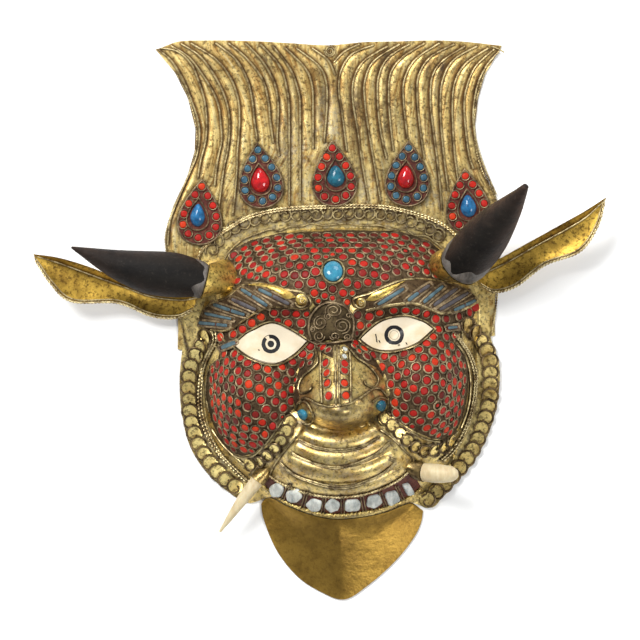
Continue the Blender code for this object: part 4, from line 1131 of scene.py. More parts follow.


# Dark places of the face (soot, and painted shade under the nose and along the bottoms of the muzzle's rolls),
# pale and rusty places: middle pixel, half width, half height, strength.
FACE_SOOT_AND_SHADE = ((338, 214, 110, 7, 0.35), (338, 398, 28, 14, 0.35), (340, 414, 34, 7, 0.35),
             (312, 402, 10, 8, 0.5), (366, 396, 10, 8, 0.4), (338, 408, 26, 5, 0.35),
             (338, 216, 100, 6, 0.6), (245, 226, 22, 9, 0.7), (432, 230, 20, 9, 0.7),
             (215, 250, 8, 12, 0.7), (338, 423, 34, 5, 0.9), (306, 424, 8, 6, 0.7), (372, 418, 10, 6, 0.7),
             (345, 441, 40, 3, 0.35), (215, 300, 8, 8, 0.6), (330, 458, 30, 3, 0.4),
             (395, 440, 6, 10, 0.5), (300, 470, 12, 4, 0.5), (240, 236, 12, 6, 0.5),
             (430, 238, 14, 6, 0.6), (190, 330, 3, 9, 0.9), (335, 490, 50, 3, 0.4))
FACE_POWDER = ((330, 226, 90, 5, 0.8), (240, 240, 14, 6, 0.7), (205, 375, 6, 26, 0.5), (212, 420, 6, 22, 0.5),
               (470, 375, 4, 30, 0.5), (293, 418, 8, 6, 1.0), (388, 416, 8, 5, 1.0), (246, 462, 14, 8, 0.5),
               (315, 444, 22, 4, 0.6), (370, 440, 14, 6, 0.5), (255, 345, 60, 4, 0.4))
FACE_RUST = ((338, 432, 13, 8, 0.75), (318, 472, 16, 6, 0.5), (365, 455, 12, 8, 0.5), (305, 450, 10, 8, 0.4),
             (352, 476, 14, 5, 0.6), (262, 500, 8, 6, 0.5), (240, 265, 6, 10, 0.5), (443, 265, 5, 10, 0.6),
             (390, 470, 8, 8, 0.5), (285, 462, 8, 6, 0.5), (345, 398, 8, 6, 0.4))


def blot(x, y, places):
    """Strength at a plan position of a set of soft places given in pixels."""
    px, py = picture_point(x, y)
    return clamp(sum(strength * math.exp(-(((px - middle_x) / wide) ** 2 + ((py - middle_y) / high) ** 2))
                     for middle_x, middle_y, wide, high, strength in places))


def face_sheet(dirt_and_shade):
    """The hammered shell: a fine outer surface, a plainer hollow inside, and the rim between them."""
    work = Work()
    outer = []
    marks = [(ring / OUTER_RINGS, 0.0) for ring in range(1, OUTER_RINGS + 1)]
    marks += [(1.0, step / RIM_STEPS) for step in range(1, RIM_STEPS + 1)]
    tip_plan = (NOSE_ROOT[0] * SHARE, NOSE_ROOT[1] * SHARE)
    for share, rim_share in marks:
        row = []
        for sector in range(FACE_SECTORS):
            x, y = plan_ring(share, sector, rim_share)
            _, pixel_y = picture_point(x, y)
            dust = clamp(clamp((pixel_y - DUST_FROM) / DUST_OVER) * 0.4 + 0.3 + blot(x, y, FACE_POWDER))
            # Darker beside the wires as dirt and painted shade; the soot mask adds painted shade under the
            # nose and the muzzle's rolls.
            row.append(work.add((x, y, face_top(x, y)), dirt_and_shade(x, y), dust, soot=blot(x, y, FACE_SOOT_AND_SHADE),
                                rust=blot(x, y, FACE_RUST)))
        outer.append(row)
    tip = work.add((*tip_plan, face_top(*tip_plan)))
    for i in range(FACE_SECTORS):
        work.faces.append((tip, outer[0][i], outer[0][(i + 1) % FACE_SECTORS]))
    for first, second in zip(outer, outer[1:]):
        work.bridge(second, first)
    inner = []
    marks = [(1.0, 1.0), (1.0, 0.5)] + [(k / INNER_RINGS, 0.0) for k in range(INNER_RINGS, 0, -1)]
    for share, rim_share in marks:
        row = []
        for sector in range(FACE_SECTORS):
            x, y = plan_ring(share, sector, rim_share)
            under_rim = Vector((x, y, face_top(x, y) - FACE_SHEET))
            # The hollow inside is darkened as painted shade.
            row.append(work.add(under_rim if rim_share else above_face(x, y, -FACE_SHEET), 0.4, 0.2))
        inner.append(row)
    work.bridge(inner[0], outer[-1])
    for first, second in zip(inner, inner[1:]):
        work.bridge(second, first)
    root = work.add((*tip_plan, face_top(*tip_plan) - FACE_SHEET))
    for i in range(FACE_SECTORS):
        work.faces.append((root, inner[-1][(i + 1) % FACE_SECTORS], inner[-1][i]))
    work.make("face_sheet", "face", "face_brass", "face")


BED_STEP = 1.6
BED_EDGE = 1.5
BED_LIFTS = (-0.0005, 0.0002)


def coral_bed():
    """The dark bed under the coral: a skin just above the sheet, over the coral's zones."""
    work = Work()
    for zone in CORAL_ZONES:
        xs, ys = (np.arange(min(axis), max(axis) + BED_STEP, BED_STEP) for axis in zip(*zone))
        cells = np.array([(x, y) for y in ys for x in xs])
        depth = edge_distance(cells, zone).reshape(len(ys), len(xs))
        made = {}
        for j in range(len(ys) - 1):
            for i in range(len(xs) - 1):
                corners = ((j, i), (j + 1, i), (j + 1, i + 1), (j, i + 1))
                if max(depth[c] for c in corners) < 0:
                    continue
                for c in corners:
                    if c not in made:
                        lift = mix(*BED_LIFTS, clamp((depth[c] + BED_EDGE) / BED_EDGE))
                        # The bed is darkened evenly, as dirt and painted shade between the chips.
                        made[c] = work.add(on_face((xs[c[1]], ys[c[0]]), lift), 0.35, 0.9)
                work.faces.append(tuple(made[c] for c in corners))
    work.make("coral_bed", "bed", "face_brass")


# Crown: the sheet's sides and top, as in the solids, and its hair lines as pixels.
CROWN_LEFT = (
    (-121, 179.5), (-108, 164), (-99.5, 147), (-94.5, 127), (-95, 112), (-100, 95), (-109, 76), (-114.5, 58),
    (-114.5, 47), (-111, 23), (-105, 0), (-100, -21),
)
CROWN_RIGHT = (
    (108.5, 181), (98, 164), (93, 147), (91, 129), (93, 111), (98, 95), (105, 82), (107, 66), (107, 47),
    (106.5, 20), (103.5, -5), (101, -12),
)
CROWN_PEAK = 185.48
CROWN_TOP = (179.5, 184.6, 185.4, 185.4, 184.8, 183.5, 182.2, 184.3, 184.8, 185.4, 185.0, 183.6, 182.0)
LOCK_SWEEP = 0.038
LOCK_SWEEP_DEPTH = 75.0
WING_SHARE = 0.13
WING_BEARINGS = (172.0, 13.0)
TOP_BEARINGS = (133.0, 51.0)
CROWN_COLUMNS = 270
CROWN_ROWS = 90
CROWN_FOOT_GAP = 3.0
CROWN_BITES = (3.0, 13.0)
INSIDE_OPENING = 1.1
STREAK_ACROSS = 90
STREAK_DOWN = 5
HAIR_LINES = (
    ((157, 48), (171, 60), (183, 80), (191, 100), (197, 118), (199, 135), (196, 155), (189, 172), (182, 188),
     (174, 207), (169, 222), (167, 245)),
    ((160, 47), (176, 50), (190, 62), (198, 80), (204, 100), (206, 120), (205, 140), (200, 160), (197, 178)),
    ((170, 44.5), (188, 56), (202, 74), (212, 90), (218, 105), (220, 120), (221, 140), (217, 160),
     (214, 185)),
    ((180, 42.5), (198, 54), (211, 70), (222, 90), (228, 110), (229, 130), (227, 150), (223, 170),
     (218, 208)),
    ((190, 42), (215, 58), (230, 77), (238, 100), (239, 125), (237, 150), (236, 180), (232, 215)),
    ((215, 42), (235, 58), (247, 79), (252, 100), (254, 120), (257, 140)),
    ((228, 42), (246, 57), (262, 78), (268, 100), (270, 120), (273, 142)),
    ((245, 42), (262, 60), (274, 82), (278, 105), (277, 140), (279, 155)),
    ((260, 43), (280, 66), (287, 90), (289, 115), (289, 205)),
    ((272, 44.5), (290, 68), (298, 90), (300, 110), (300, 200)),
    ((284, 46), (305, 67), (312, 85), (313, 110), (313, 148)),
    ((296, 47), (318, 64), (326, 80), (327, 105), (324, 142)),
    ((312, 47), (328, 59), (335, 74)),
    ((360, 43), (345, 50), (334, 61)),
    ((374, 44), (352, 53), (341, 70), (339, 90), (342, 110), (347, 150)),
    ((388, 45), (364, 60), (354, 78), (353, 100), (358, 130), (362, 160), (369, 200)),
    ((400, 43), (374, 60), (365, 80), (365, 100), (369, 130), (375, 165), (381, 200)),
    ((410, 43), (389, 56), (379, 75), (378, 100), (381, 130), (387, 158)),
    ((425, 42), (403, 56), (391, 72), (389, 95), (391, 125), (394, 150)),
    ((440, 42), (416, 58), (405, 78), (404, 100), (408, 138)),
    ((455, 43), (431, 56), (419, 75), (418, 100), (421, 130), (425, 158)),
    ((466, 45), (444, 59), (433, 75), (431, 100), (434, 130), (438, 160), (443, 210)),
    ((478, 45), (454, 59), (443, 80), (441, 110), (444, 150), (449, 190)),
    ((489, 47), (467, 62), (456, 80), (453, 105), (455, 150), (459, 180)),
    ((495, 48), (476, 66), (467, 88), (465, 110), (469, 150), (474, 168)),
    ((500, 50), (487, 65), (478, 85), (474, 110), (475, 130), (480, 152), (489, 176), (497, 194)),
)


def crown_bearing(u):
    """Bearing at which the lock at share u of the crown's width meets the face's rim."""
    if u < WING_SHARE:
        return mix(WING_BEARINGS[0], TOP_BEARINGS[0], u / WING_SHARE)
    if u > 1 - WING_SHARE:
        return mix(WING_BEARINGS[1], TOP_BEARINGS[1], (1 - u) / WING_SHARE)
    across = (u - WING_SHARE) / (1 - 2 * WING_SHARE)
    low, high = (1 / math.tan(math.radians(b)) for b in TOP_BEARINGS)
    return math.degrees(math.atan2(1, mix(low, high, across)))


def side_x(points, y):
    """Where a side of the crown is at height y."""
    for (x0, y0), (x1, y1) in zip(points, points[1:]):
        if y >= y1:
            return mix(x0, x1, clamp((y0 - y) / (y0 - y1)))
    return points[-1][0]


def crown_point(u, v):
    """A lock's course, from the fanned top edge (v = 0) to just outside the face's rim (v = 1)."""
    bearing = math.radians(crown_bearing(u))
    reach = RIM.radius(bearing) + CROWN_FOOT_GAP
    foot_x, foot_y = NOSE_ROOT[0] + reach * math.cos(bearing), NOSE_ROOT[1] + reach * math.sin(bearing)
    top_y = min(spline_point([(height,) for height in CROWN_TOP], u)[0], CROWN_PEAK)
    y = mix(top_y, foot_y, v)
    fan = clamp(1 - (top_y - y) / LOCK_SWEEP_DEPTH) ** 2
    swept = u - LOCK_SWEEP * math.sin(math.tau * u) * fan
    x = mix(side_x(CROWN_LEFT, y), side_x(CROWN_RIGHT, y), swept)
    return mix(x, foot_x, smooth_step(2.5 * v - 1.5)), y


# Sooty and powdery places of the crown: middle pixel, half width, half height, strength.
CROWN_SOOT = ((292, 108, 9, 34, 0.6), (322, 100, 9, 26, 0.9), (356, 108, 14, 34, 0.85), (386, 60, 9, 18, 0.9),
              (388, 118, 9, 26, 0.8), (443, 68, 5, 24, 1.0), (428, 72, 4, 28, 0.7), (282, 160, 10, 26, 0.5),
              (352, 170, 12, 22, 0.7), (384, 168, 8, 20, 0.6), (262, 60, 10, 8, 0.7), (238, 208, 16, 8, 0.8),
              (270, 62, 5, 20, 0.5), (476, 160, 10, 60, 0.35), (205, 165, 6, 40, 0.3),
              (457, 100, 4, 50, 0.45))
CROWN_RUST = ((300, 62, 14, 14, 0.9), (214, 56, 14, 10, 0.7), (252, 72, 12, 22, 0.8), (194, 58, 8, 8, 0.6),
              (318, 68, 6, 16, 0.8), (262, 110, 8, 20, 0.6), (232, 52, 10, 8, 0.6), (350, 62, 10, 12, 0.6),
              (372, 90, 8, 20, 0.5), (405, 70, 10, 16, 0.6), (460, 62, 10, 12, 0.5), (436, 110, 8, 20, 0.4))
CROWN_POWDER = ((331, 124, 10, 26, 1.0), (296, 150, 26, 24, 0.6), (300, 190, 12, 20, 0.8),
                (428, 198, 20, 14, 0.7), (238, 185, 18, 20, 0.4), (365, 190, 12, 18, 0.8),
                (430, 150, 14, 30, 0.4), (180, 225, 16, 20, 0.5), (480, 220, 14, 24, 0.6))
LOCK_SWELL = 0.00045
LOCK_SHOULDER = 0.0035
RUST_REACH = 0.0027
WIRE_RUST = 0.65
PATCH_RUST = 0.5
CROWN_GRIME_AND_SHADE = 0.72


def lock_crest(distance, v):
    """Roundness of a lock between its wires, gone at the crown's edge and where it meets the face."""
    return smooth_step(distance / LOCK_SHOULDER) * clamp(v * 12) * clamp((0.85 - v) * 3)


def close_sheet(work, top, below):
    """Joins the two skins of a sheet along all its edges."""
    for first, second in zip(top, top[1:]):
        work.bridge(first, second, closed=False)
    for first, second in zip(below, below[1:]):
        work.bridge(second, first, closed=False)
    for side in (0, -1):
        work.bridge([r[side] for r in top], [r[side] for r in below], closed=False)
        work.bridge(top[side], below[side], closed=False)


def crown_rust(dirt_and_shade, x, y, v):
    """Rust beside the hair wires, fading down the locks, and in patches of its own."""
    beside = WIRE_RUST * clamp(1 - dirt_and_shade.distance(x, y) / RUST_REACH) * clamp(2.2 - 3 * v)
    return max(beside, PATCH_RUST * blot(x, y, CROWN_RUST))


def crown_sheet(dirt_and_shade):
    """The flat hair plate with the mask's opening in its foot."""
    work = Work()
    rows = []
    for step in range(CROWN_ROWS + 1):
        v = step / CROWN_ROWS
        rows.append([(*(c * SHARE for c in crown_point(column / CROWN_COLUMNS, v)), v)
                     for column in range(CROWN_COLUMNS + 1)])
    for bite in CROWN_BITES:
        row = []
        for column in range(CROWN_COLUMNS + 1):
            bearing = math.radians(crown_bearing(column / CROWN_COLUMNS))
            radius = RIM.radius(bearing) - bite
            row.append(((NOSE_ROOT[0] + radius * math.cos(bearing)) * SHARE,
                        (NOSE_ROOT[1] + radius * math.sin(bearing)) * SHARE, INSIDE_OPENING))
        rows.append(row)
    top, below = [], []
    for row in rows:
        top.append([])
        for i, (x, y, v) in enumerate(row):
            height = CROWN_SHEET + LOCK_SWELL * lock_crest(dirt_and_shade.distance(x, y), v)
            # Darker beside the hair wires as dirt and painted shade.
            top[-1].append(work.add(
                (x, y, height), CROWN_GRIME_AND_SHADE * dirt_and_shade(x, y), blot(x, y, CROWN_POWDER),
                soot=blot(x, y, CROWN_SOOT), rust=crown_rust(dirt_and_shade, x, y, v),
                flow_across=i / CROWN_COLUMNS * STREAK_ACROSS, flow_down=v * STREAK_DOWN))
        # The underside is darkened as painted shade.
        below.append([work.add((x, y, 0.0), 0.3, 0.2, soot=0.3) for x, y, _ in row])
    close_sheet(work, top, below)
    work.make("crown_sheet", "crown", "hair_brass", "crown")


HAIR_WIRE = 0.00065
HAIR_WIRE_LIFT = 0.0005
OXIDE_SHADOW_WIRE = 0.00042
OXIDE_SHADOW_LIFT = 0.0002
OXIDE_SHADOW_SHIFT = 1.7
LEFT_HAIR_LINES = 13
EDGING_WIRE = 0.0007
EDGING_LIFT = 0.0003
EDGING_STEP = 0.5
EDGING_PITCH = 0.0018
CROWN_CURL = ((330, 49.8), 5.4, 180, 2.4)
WING_TIP = ((492, 45), (500, 48), (505, 51))


def crown_hair():
    """The edge of each lock: a bright wire with a dark line beside it on its shaded side, painted shadow
    tinted as oxide.
    """
    wires, lines = Work(), Work()
    for number, pixels in enumerate(HAIR_LINES):
        # The painted shadow line lies right of the wires on the left half and left of them on the right half.
        side = 1 if number < LEFT_HAIR_LINES else -1
        wires.tube(course(pixels, on_crown, HAIR_WIRE_LIFT), HAIR_WIRE, 8, squash=1.2)
        beside = shifted(pixels, OXIDE_SHADOW_SHIFT * side, 0)
        lines.tube(course(beside, on_crown, OXIDE_SHADOW_LIFT), OXIDE_SHADOW_WIRE, 6, squash=0.7, taper=0.6)
    for pixels in (spiral_pixels(*CROWN_CURL), WING_TIP):
        wires.tube(course(pixels, on_crown, HAIR_WIRE_LIFT), FINE_WIRE, 6)
    wires.make("hair_wires", "pale_wire", "hair_brass")
    lines.make("hair_oxide_shadow", "oxide", "hair_brass")
    edging = Work()
    for side, sign in ((CROWN_LEFT[1:], 1), (CROWN_RIGHT[1:], -1)):
        pixels = shifted([picture_point(x * SHARE, y * SHARE) for x, y in side], sign, 0)
        edging.tube(course(pixels, on_crown, EDGING_LIFT, EDGING_STEP), EDGING_WIRE, 8, lobes=2,
                    pitch=EDGING_PITCH)
    edging.make("crown_edging", "wire", "hair_brass")


# Crown drops: tip and foot of each teardrop plate and the place of its middle stone in shares, the looks of
# that stone and of the small ones, and the middle stone's half width and half height in pixels.
DROPS = (
    ((-90, 93), (-92.5, 50), (-93, 68.5), "blue_glass", "coral", (7.4, 9.9)),
    ((-53.5, 117.5), (-49.5, 74), (-51.5, 91.7), "red_glass", "blue_dots", (9.4, 10.8)),
    ((-4, 118), (-1.3, 76), (-1.3, 94.4), "teal_glass", "coral", (9.0, 9.4)),
    ((47, 119), (45.5, 75), (45, 93.7), "red_glass", "blue_dots", (8.4, 10.0)),
    ((84, 100), (88, 57), (86.5, 74.6), "blue_glass", "coral", (8.0, 9.8)),
)
DROP_WIDTH = 0.031
DROP_LENGTH = 0.043
DROP_POINTEDNESS = 1.1
DROP_SIDES = 60
PLATE_TOP = DROP_TOP - 0.0004
DROP_WIRE = 0.00065
DROP_WIRE_LEVEL = DROP_TOP - 0.0002
COLLET_WIRE_LEVEL = DROP_TOP + 0.0002
COLLET_REACH = (0.0122, 0.0090)
COLLET_SIZE = (0.0155, 0.0212)
COLLET_SIDES = 40
COLLET_WIRE = 0.0005
TRACK_INSET = (0.0070, 0.0090)
TRACK_SIDES = 240
SMALL_STONES = 12
SMALL_STONE_RADIUS = 4.35
SMALL_STONE_HEIGHT = 0.0011
SMALL_RING_WIRE = 0.00036
GEM_ROWS = 10
GEM_SIDES = 32
GEM_HEIGHT = 0.0046
STONE_SLOTS = {"blue_glass": "blue_glass", "teal_glass": "blue_glass", "blue_dots": "blue_glass",
               "red_glass": "red_glass", "coral": "red_glass"}


def teardrop(tip, foot, width, length, points):
    """Outline of a teardrop about the middle of tip and foot."""
    axis = (tip - foot).normalized()
    across = Vector((axis.y, -axis.x))
    middle = (tip + foot) / 2
    ring = []
    for k in range(points):
        angle = math.tau * k / points
        wide = math.sin(angle) * abs(math.sin(angle / 2)) ** DROP_POINTEDNESS * 0.62
        ring.append(middle + across * width * wide + axis * length / 2 * math.cos(angle))
    return ring


def crown_drop(number):
    """A teardrop plaque: its plate and edging, a ring of small stones and a domed stone in a collet."""
    tip, foot, stone_at, gem_look, dot_look, gem_size = DROPS[number - 1]
    tip, foot, stone_at = (Vector(p) * SHARE for p in (tip, foot, stone_at))
    plate, wires, dots, gem = Work(), Work(), Work(), Work()
    outline = teardrop(tip, foot, DROP_WIDTH, DROP_LENGTH, DROP_SIDES)
    rings = [[Vector((*p, z)) for p in outline] for z in (DROP_REST, PLATE_TOP)]
    middle = (tip + foot) / 2
    plate.loft(rings, Vector((*middle, DROP_REST)), Vector((*middle, PLATE_TOP)))
    wires.tube([Vector((*p, DROP_WIRE_LEVEL)) for p in outline], DROP_WIRE, 8, closed=True, squash=1.3)
    axis = (tip - foot).normalized()
    collet = teardrop(stone_at + axis * COLLET_REACH[0], stone_at - axis * COLLET_REACH[1], *COLLET_SIZE,
                      COLLET_SIDES)
    wires.tube([Vector((*p, COLLET_WIRE_LEVEL)) for p in collet], COLLET_WIRE, 8, closed=True, squash=1.8)

    def flat_frame(x, y):
        return Vector((x, y, PLATE_TOP)), Vector((1, 0, 0)), Vector((0, 1, 0)), Vector((0, 0, 1))

    track = teardrop(tip, foot, DROP_WIDTH - TRACK_INSET[0], DROP_LENGTH - TRACK_INSET[1], TRACK_SIDES)
    lengths = [0.0]
    for first, second in zip(track, track[1:] + track[:1]):
        lengths.append(lengths[-1] + (second - first).length)
    for k in range(SMALL_STONES):
        reach = lengths[-1] * k / SMALL_STONES
        place = next(i for i, run in enumerate(lengths) if run >= reach)
        pixel = picture_point(*track[place % len(track)])
        dots.tint = RANDOM.uniform(*BRIGHT_TINTS)
        round_setting(wires, dots, pixel, SMALL_STONE_RADIUS * PIXEL, flat_frame, 0.8, SMALL_RING_WIRE,
                      SMALL_STONE_HEIGHT)
    across = Vector((axis.y, -axis.x))
    wide, long = gem_size[0] * PIXEL, gem_size[1] * PIXEL
    dome = []
    for j in range(GEM_ROWS):
        tilt = math.pi / 2 * j / GEM_ROWS
        ring = []
        for k in range(GEM_SIDES):
            angle = -math.tau * k / GEM_SIDES
            upper = max(0.0, math.sin(angle))
            side = across * wide * math.cos(angle) * (1 - 0.22 * upper)
            plan = stone_at + (side + axis * long * math.sin(angle) * (1 + 0.3 * upper)) * math.cos(tilt)
            ring.append(Vector((*plan, PLATE_TOP + GEM_HEIGHT * math.sin(tilt))))
        dome.append(ring)
    gem.loft(dome, None, Vector((*stone_at, PLATE_TOP + GEM_HEIGHT)))
    plate.make(f"drop_plate_{number}", "resin", "wire_brass", f"crown_drop_{number}")
    wires.make(f"drop_wires_{number}", "ring_wire", "wire_brass")
    dots.make(f"drop_dots_{number}", dot_look, STONE_SLOTS[dot_look])
    gem.make(f"drop_gem_{number}", gem_look, STONE_SLOTS[gem_look], f"crown_stone_{number}")
    WIRE_SPOTS.extend((p.x, p.y) for p in outline)


def circle(radius_x, radius_y, sides, turn=0.0):
    """An ellipse about nought, turned anticlockwise by an angle."""
    ring = []
    for k in range(sides):
        angle = math.tau * k / sides
        x, y = radius_x * math.cos(angle), radius_y * math.sin(angle)
        ring.append((x * math.cos(turn) - y * math.sin(turn), x * math.sin(turn) + y * math.cos(turn)))
    return ring


SETTING_DEPTH = -0.0004


def scribed(work, centre, outline, profile):
    """A solid chip standing on the face: rings at (share of the outline, height), closed on top."""
    rings = []
    for share, height in ((1.0, SETTING_DEPTH), *profile):
        rings.append([above_face(centre[0] + x * share, centre[1] + y * share, height) for x, y in outline])
    work.loft(rings, None, above_face(centre[0], centre[1], profile[-1][1]))


def strip(work, upper, lower, thickness, columns, rows, crown):
    """A plate between two edges that meet at its ends, laid on the face and domed by the share crown."""
    top = []
    for i in range(columns + 1):
        u = i / columns
        swell = crown * 4 * clamp(4 * u * (1 - u))
        row = []
        for j in range(rows + 1):
            v = j / rows
            x, y = (mix(a, b, v) for a, b in zip(spline_point(upper, u), spline_point(lower, u)))
            height = thickness * (1 - crown + swell * v * (1 - v))
            row.append(work.add(above_face(x, y, SEAT_GAP + height)))
        top.append(row)
    for first, second in zip(top, top[1:]):
        work.bridge(second, first, closed=False)
    for side, edge in ((0, upper), (-1, lower)):
        foot = []
        for i in range(columns + 1):
            x, y = spline_point(edge, i / columns)
            foot.append(work.add(above_face(x, y, SETTING_DEPTH)))
        pair = ([r[side] for r in top], foot)
        work.bridge(*(pair if side == 0 else pair[::-1]), closed=False)


EYE_SCRATCHES = (((374.5, 334), (375.2, 338), (376, 343)), ((378, 341), (379, 343.5)),
                 ((258, 352), (259.3, 352.8)), ((407, 345), (408, 346.5)), ((399, 347.5), (401, 347)))
EYE_CROWN = 0.4
SCRATCH_WIDTH = 0.00032


def eyes():
    """The almond plates; their irises are painted by their look."""
    shape = {"left": (LEFT_EYE_UPPER, LEFT_EYE_LOWER), "right": (RIGHT_EYE_UPPER, RIGHT_EYE_LOWER)}
    for side, (upper, lower) in shape.items():
        work = Work()
        strip(work, spots(upper), spots(lower), EYE_THICKNESS, 60, 24, EYE_CROWN)
        work.make(f"eyeball_{side}", f"eye_{side}", "bone", f"eye_{side}")
    marks = Work()
    for scratch in EYE_SCRATCHES:
        marks.tube([on_face(p, SEAT_GAP + EYE_THICKNESS) for p in scratch], SCRATCH_WIDTH, 6)
    marks.make("eye_scratches", "ink", "bone")


# Brow strips by number: those of grey stone, those grey in their second half, and where broken ones crack.
GREY_STRIPS = (3, 10, 11)
HALF_GREY_STRIPS = (5, 8)
BROKEN_STRIPS = {0: 0.6, 2: 0.55, 4: 0.42, 5: 0.45, 8: 0.5, 12: 0.5}
STRIP_CRACK = 0.5
STRIP_HALF_WIDTH = 1.6
WIDE_STRIP = 6
WIDE_STRIP_HALF_WIDTH = 2.3
STRIP_CUTS = 9
STRIP_PROFILE = ((-1.0, 0.4), (-0.9, 1.0), (-0.4, 1.2), (0.4, 1.2), (0.9, 1.0), (1.0, 0.4))
BED_OVERHANG = 1.6
BED_HALF_WIDTH = 2.5
BED_HEIGHT_SHARE = 0.72
CELL_TIP = 2.2
CELL_CORNER = (1.4, 2.7)
CELL_WALL = 0.00034
CELL_LIFT = BROW_THICKNESS * 0.72
BROW_PLATE_THICKNESS = BROW_THICKNESS * 0.7
WEDGE_THICKNESS = BROW_THICKNESS * 1.1
BROW_SPLIT = 10
# Upper and lower edge of the gilt wedge at each brow's inner end, and its loop: middle pixel and radius.
BROW_WEDGES = (
    (((250, 287), (262, 285.5), (276, 288), (288, 291.5), (296, 297)),
     ((250, 287), (264, 289), (276, 293), (286, 298.5), (296, 297))),
    (((366, 299), (372, 294), (380, 291), (389, 288), (404, 283)),
     ((366, 299), (374, 299.5), (382, 297), (391, 292), (404, 283))),
)
BROW_LOOPS = ((301.5, 299, 6.0), (361, 301, 5.0))
LOOP_PROFILE = ((1.0, BROW_THICKNESS * 0.8), (0.8, BROW_THICKNESS * 1.05), (0.4, BROW_THICKNESS * 1.2))
GARNET = (475, 307)
GARNET_SIZE = (4.4, 4.6)
GARNET_PROFILE = ((1.0, 0.001), (0.8, 0.0018), (0.4, 0.0023))


def inlay_bar(work, start, end, half_width, height_share):
    """A long chip of stone or resin lying in a brow, between two pixels."""
    along = (end - start).normalized()
    across = Vector((-along.y, along.x))
    rings = []
    for k in range(STRIP_CUTS + 1):
        middle = start.lerp(end, k / STRIP_CUTS)
        end_cut = k in (0, STRIP_CUTS)
        taper = 0.75 if end_cut else RANDOM.uniform(0.9, 1.06)
        ring = []
        for side, lift in STRIP_PROFILE:
            height = BROW_THICKNESS * (0.35 + 0.62 * lift) * height_share * (0.86 if end_cut else 1.0)
            ring.append(on_face(middle + across * side * half_width * taper, height))
        rings.append(ring)
    work.loft(rings, rings[0][0].lerp(rings[0][3], 0.5), rings[-1][0].lerp(rings[-1][3], 0.5))


def brow_plate(side, outer):
    """The dark plate under a brow's strips; the outline is cut in two where it turns back."""
    work = Work()
    upper = spots(outer[:BROW_SPLIT])
    lower = spots(outer[BROW_SPLIT:][::-1])
    if side == "right":
        lower = spots(outer[:1] + outer[:BROW_SPLIT - 1:-1])
    lower = [upper[0]] + lower + [upper[-1]]
    strip(work, upper, lower, BROW_PLATE_THICKNESS, 48, 6, 0.15)
    work.make(f"brow_plate_{side}", "bed", "wire_brass", f"brow_{side}")


def cell_corners(start, end):
    """The six corners of the wire cell about a strip."""
    along = (end - start).normalized()
    across = Vector((-along.y, along.x))
    out, wide = CELL_CORNER
    return [start - along * CELL_TIP, start - along * out + across * wide, end + along * out + across * wide,
            end + along * CELL_TIP, end + along * out - across * wide, start - along * out - across * wide]


def brow_strips():
    """The long stones of the brows, some broken, each in its bed of resin and its wire cell."""
    bars, walls, beds, greys = Work(), Work(), Work(), Work()
    for number, (start, end) in enumerate(BROW_STRIPS):
        start, end = Vector(start), Vector(end)
        along = (end - start).normalized()
        half_width = WIDE_STRIP_HALF_WIDTH if number == WIDE_STRIP else STRIP_HALF_WIDTH
        whole = greys if number in GREY_STRIPS else bars
        if number in BROKEN_STRIPS:
            crack = start.lerp(end, BROKEN_STRIPS[number])
            rest = greys if number in HALF_GREY_STRIPS else bars
            inlay_bar(whole, start, crack - along * STRIP_CRACK, half_width, 1.0)
            inlay_bar(rest, crack + along * STRIP_CRACK, end, half_width, 0.9)
        else:
            inlay_bar(whole, start, end, half_width, 1.0)
        over = along * BED_OVERHANG
        inlay_bar(beds, start - over, end + over, BED_HALF_WIDTH, BED_HEIGHT_SHARE)
        corners = [tuple(corner) for corner in cell_corners(start, end)]
        walls.tube(course(corners, on_face, CELL_LIFT, closed=True), CELL_WALL, 6, closed=True, squash=2.4)
    bars.make("brow_strips", "turquoise", "turquoise")
    greys.make("brow_grey_strips", "grey_stone", "turquoise")
    beds.make("brow_resin", "resin", "wire_brass")
    walls.make("brow_cells", "ring_wire", "wire_brass")


def brow_ends():
    """The gilt wedges and loops at the brows' inner ends, and the red stone at the right temple."""
    wedge, loops, red = Work(), Work(), Work()
    for upper, lower in BROW_WEDGES:
        strip(wedge, spots(upper), spots(lower), WEDGE_THICKNESS, 30, 6, 0.2)
    for x, y, radius in BROW_LOOPS:
        scribed(wedge, spot((x, y)), circle(radius * PIXEL, radius * 0.85 * PIXEL, 24), LOOP_PROFILE)
        scroll(loops, (x, y), radius + 1.0, 200, 1.0, BROW_THICKNESS * 1.0, WIRE)
        scroll(loops, (x, y), radius * 0.5, 20, -1.0, BROW_THICKNESS * 1.3, FINE_WIRE)
    wedge.make("brow_wedges", "socket", "face_brass")
    loops.make("brow_loops", "pale_wire", "wire_brass")
    scribed(red, spot(GARNET), circle(GARNET_SIZE[0] * PIXEL, GARNET_SIZE[1] * PIXEL, 14), GARNET_PROFILE)
    red.make("temple_garnet", "coral", "red_glass")


MEDALLION_PROFILE = ((1.0, 0.0012), (0.9, 0.0015), (0.5, 0.0016))
MEDALLION_CUTS = 4
MEDALLION_WINDING = 1.4
# The medallion's wires: how high each lies, and its radius.
MEDALLION_RIM_WIRE = (0.0019, 0.00075)
MEDALLION_FOOT_WIRE = (0.0016, 0.00065)
MEDALLION_SPIRAL_WIRE = (0.0021, 0.0004)


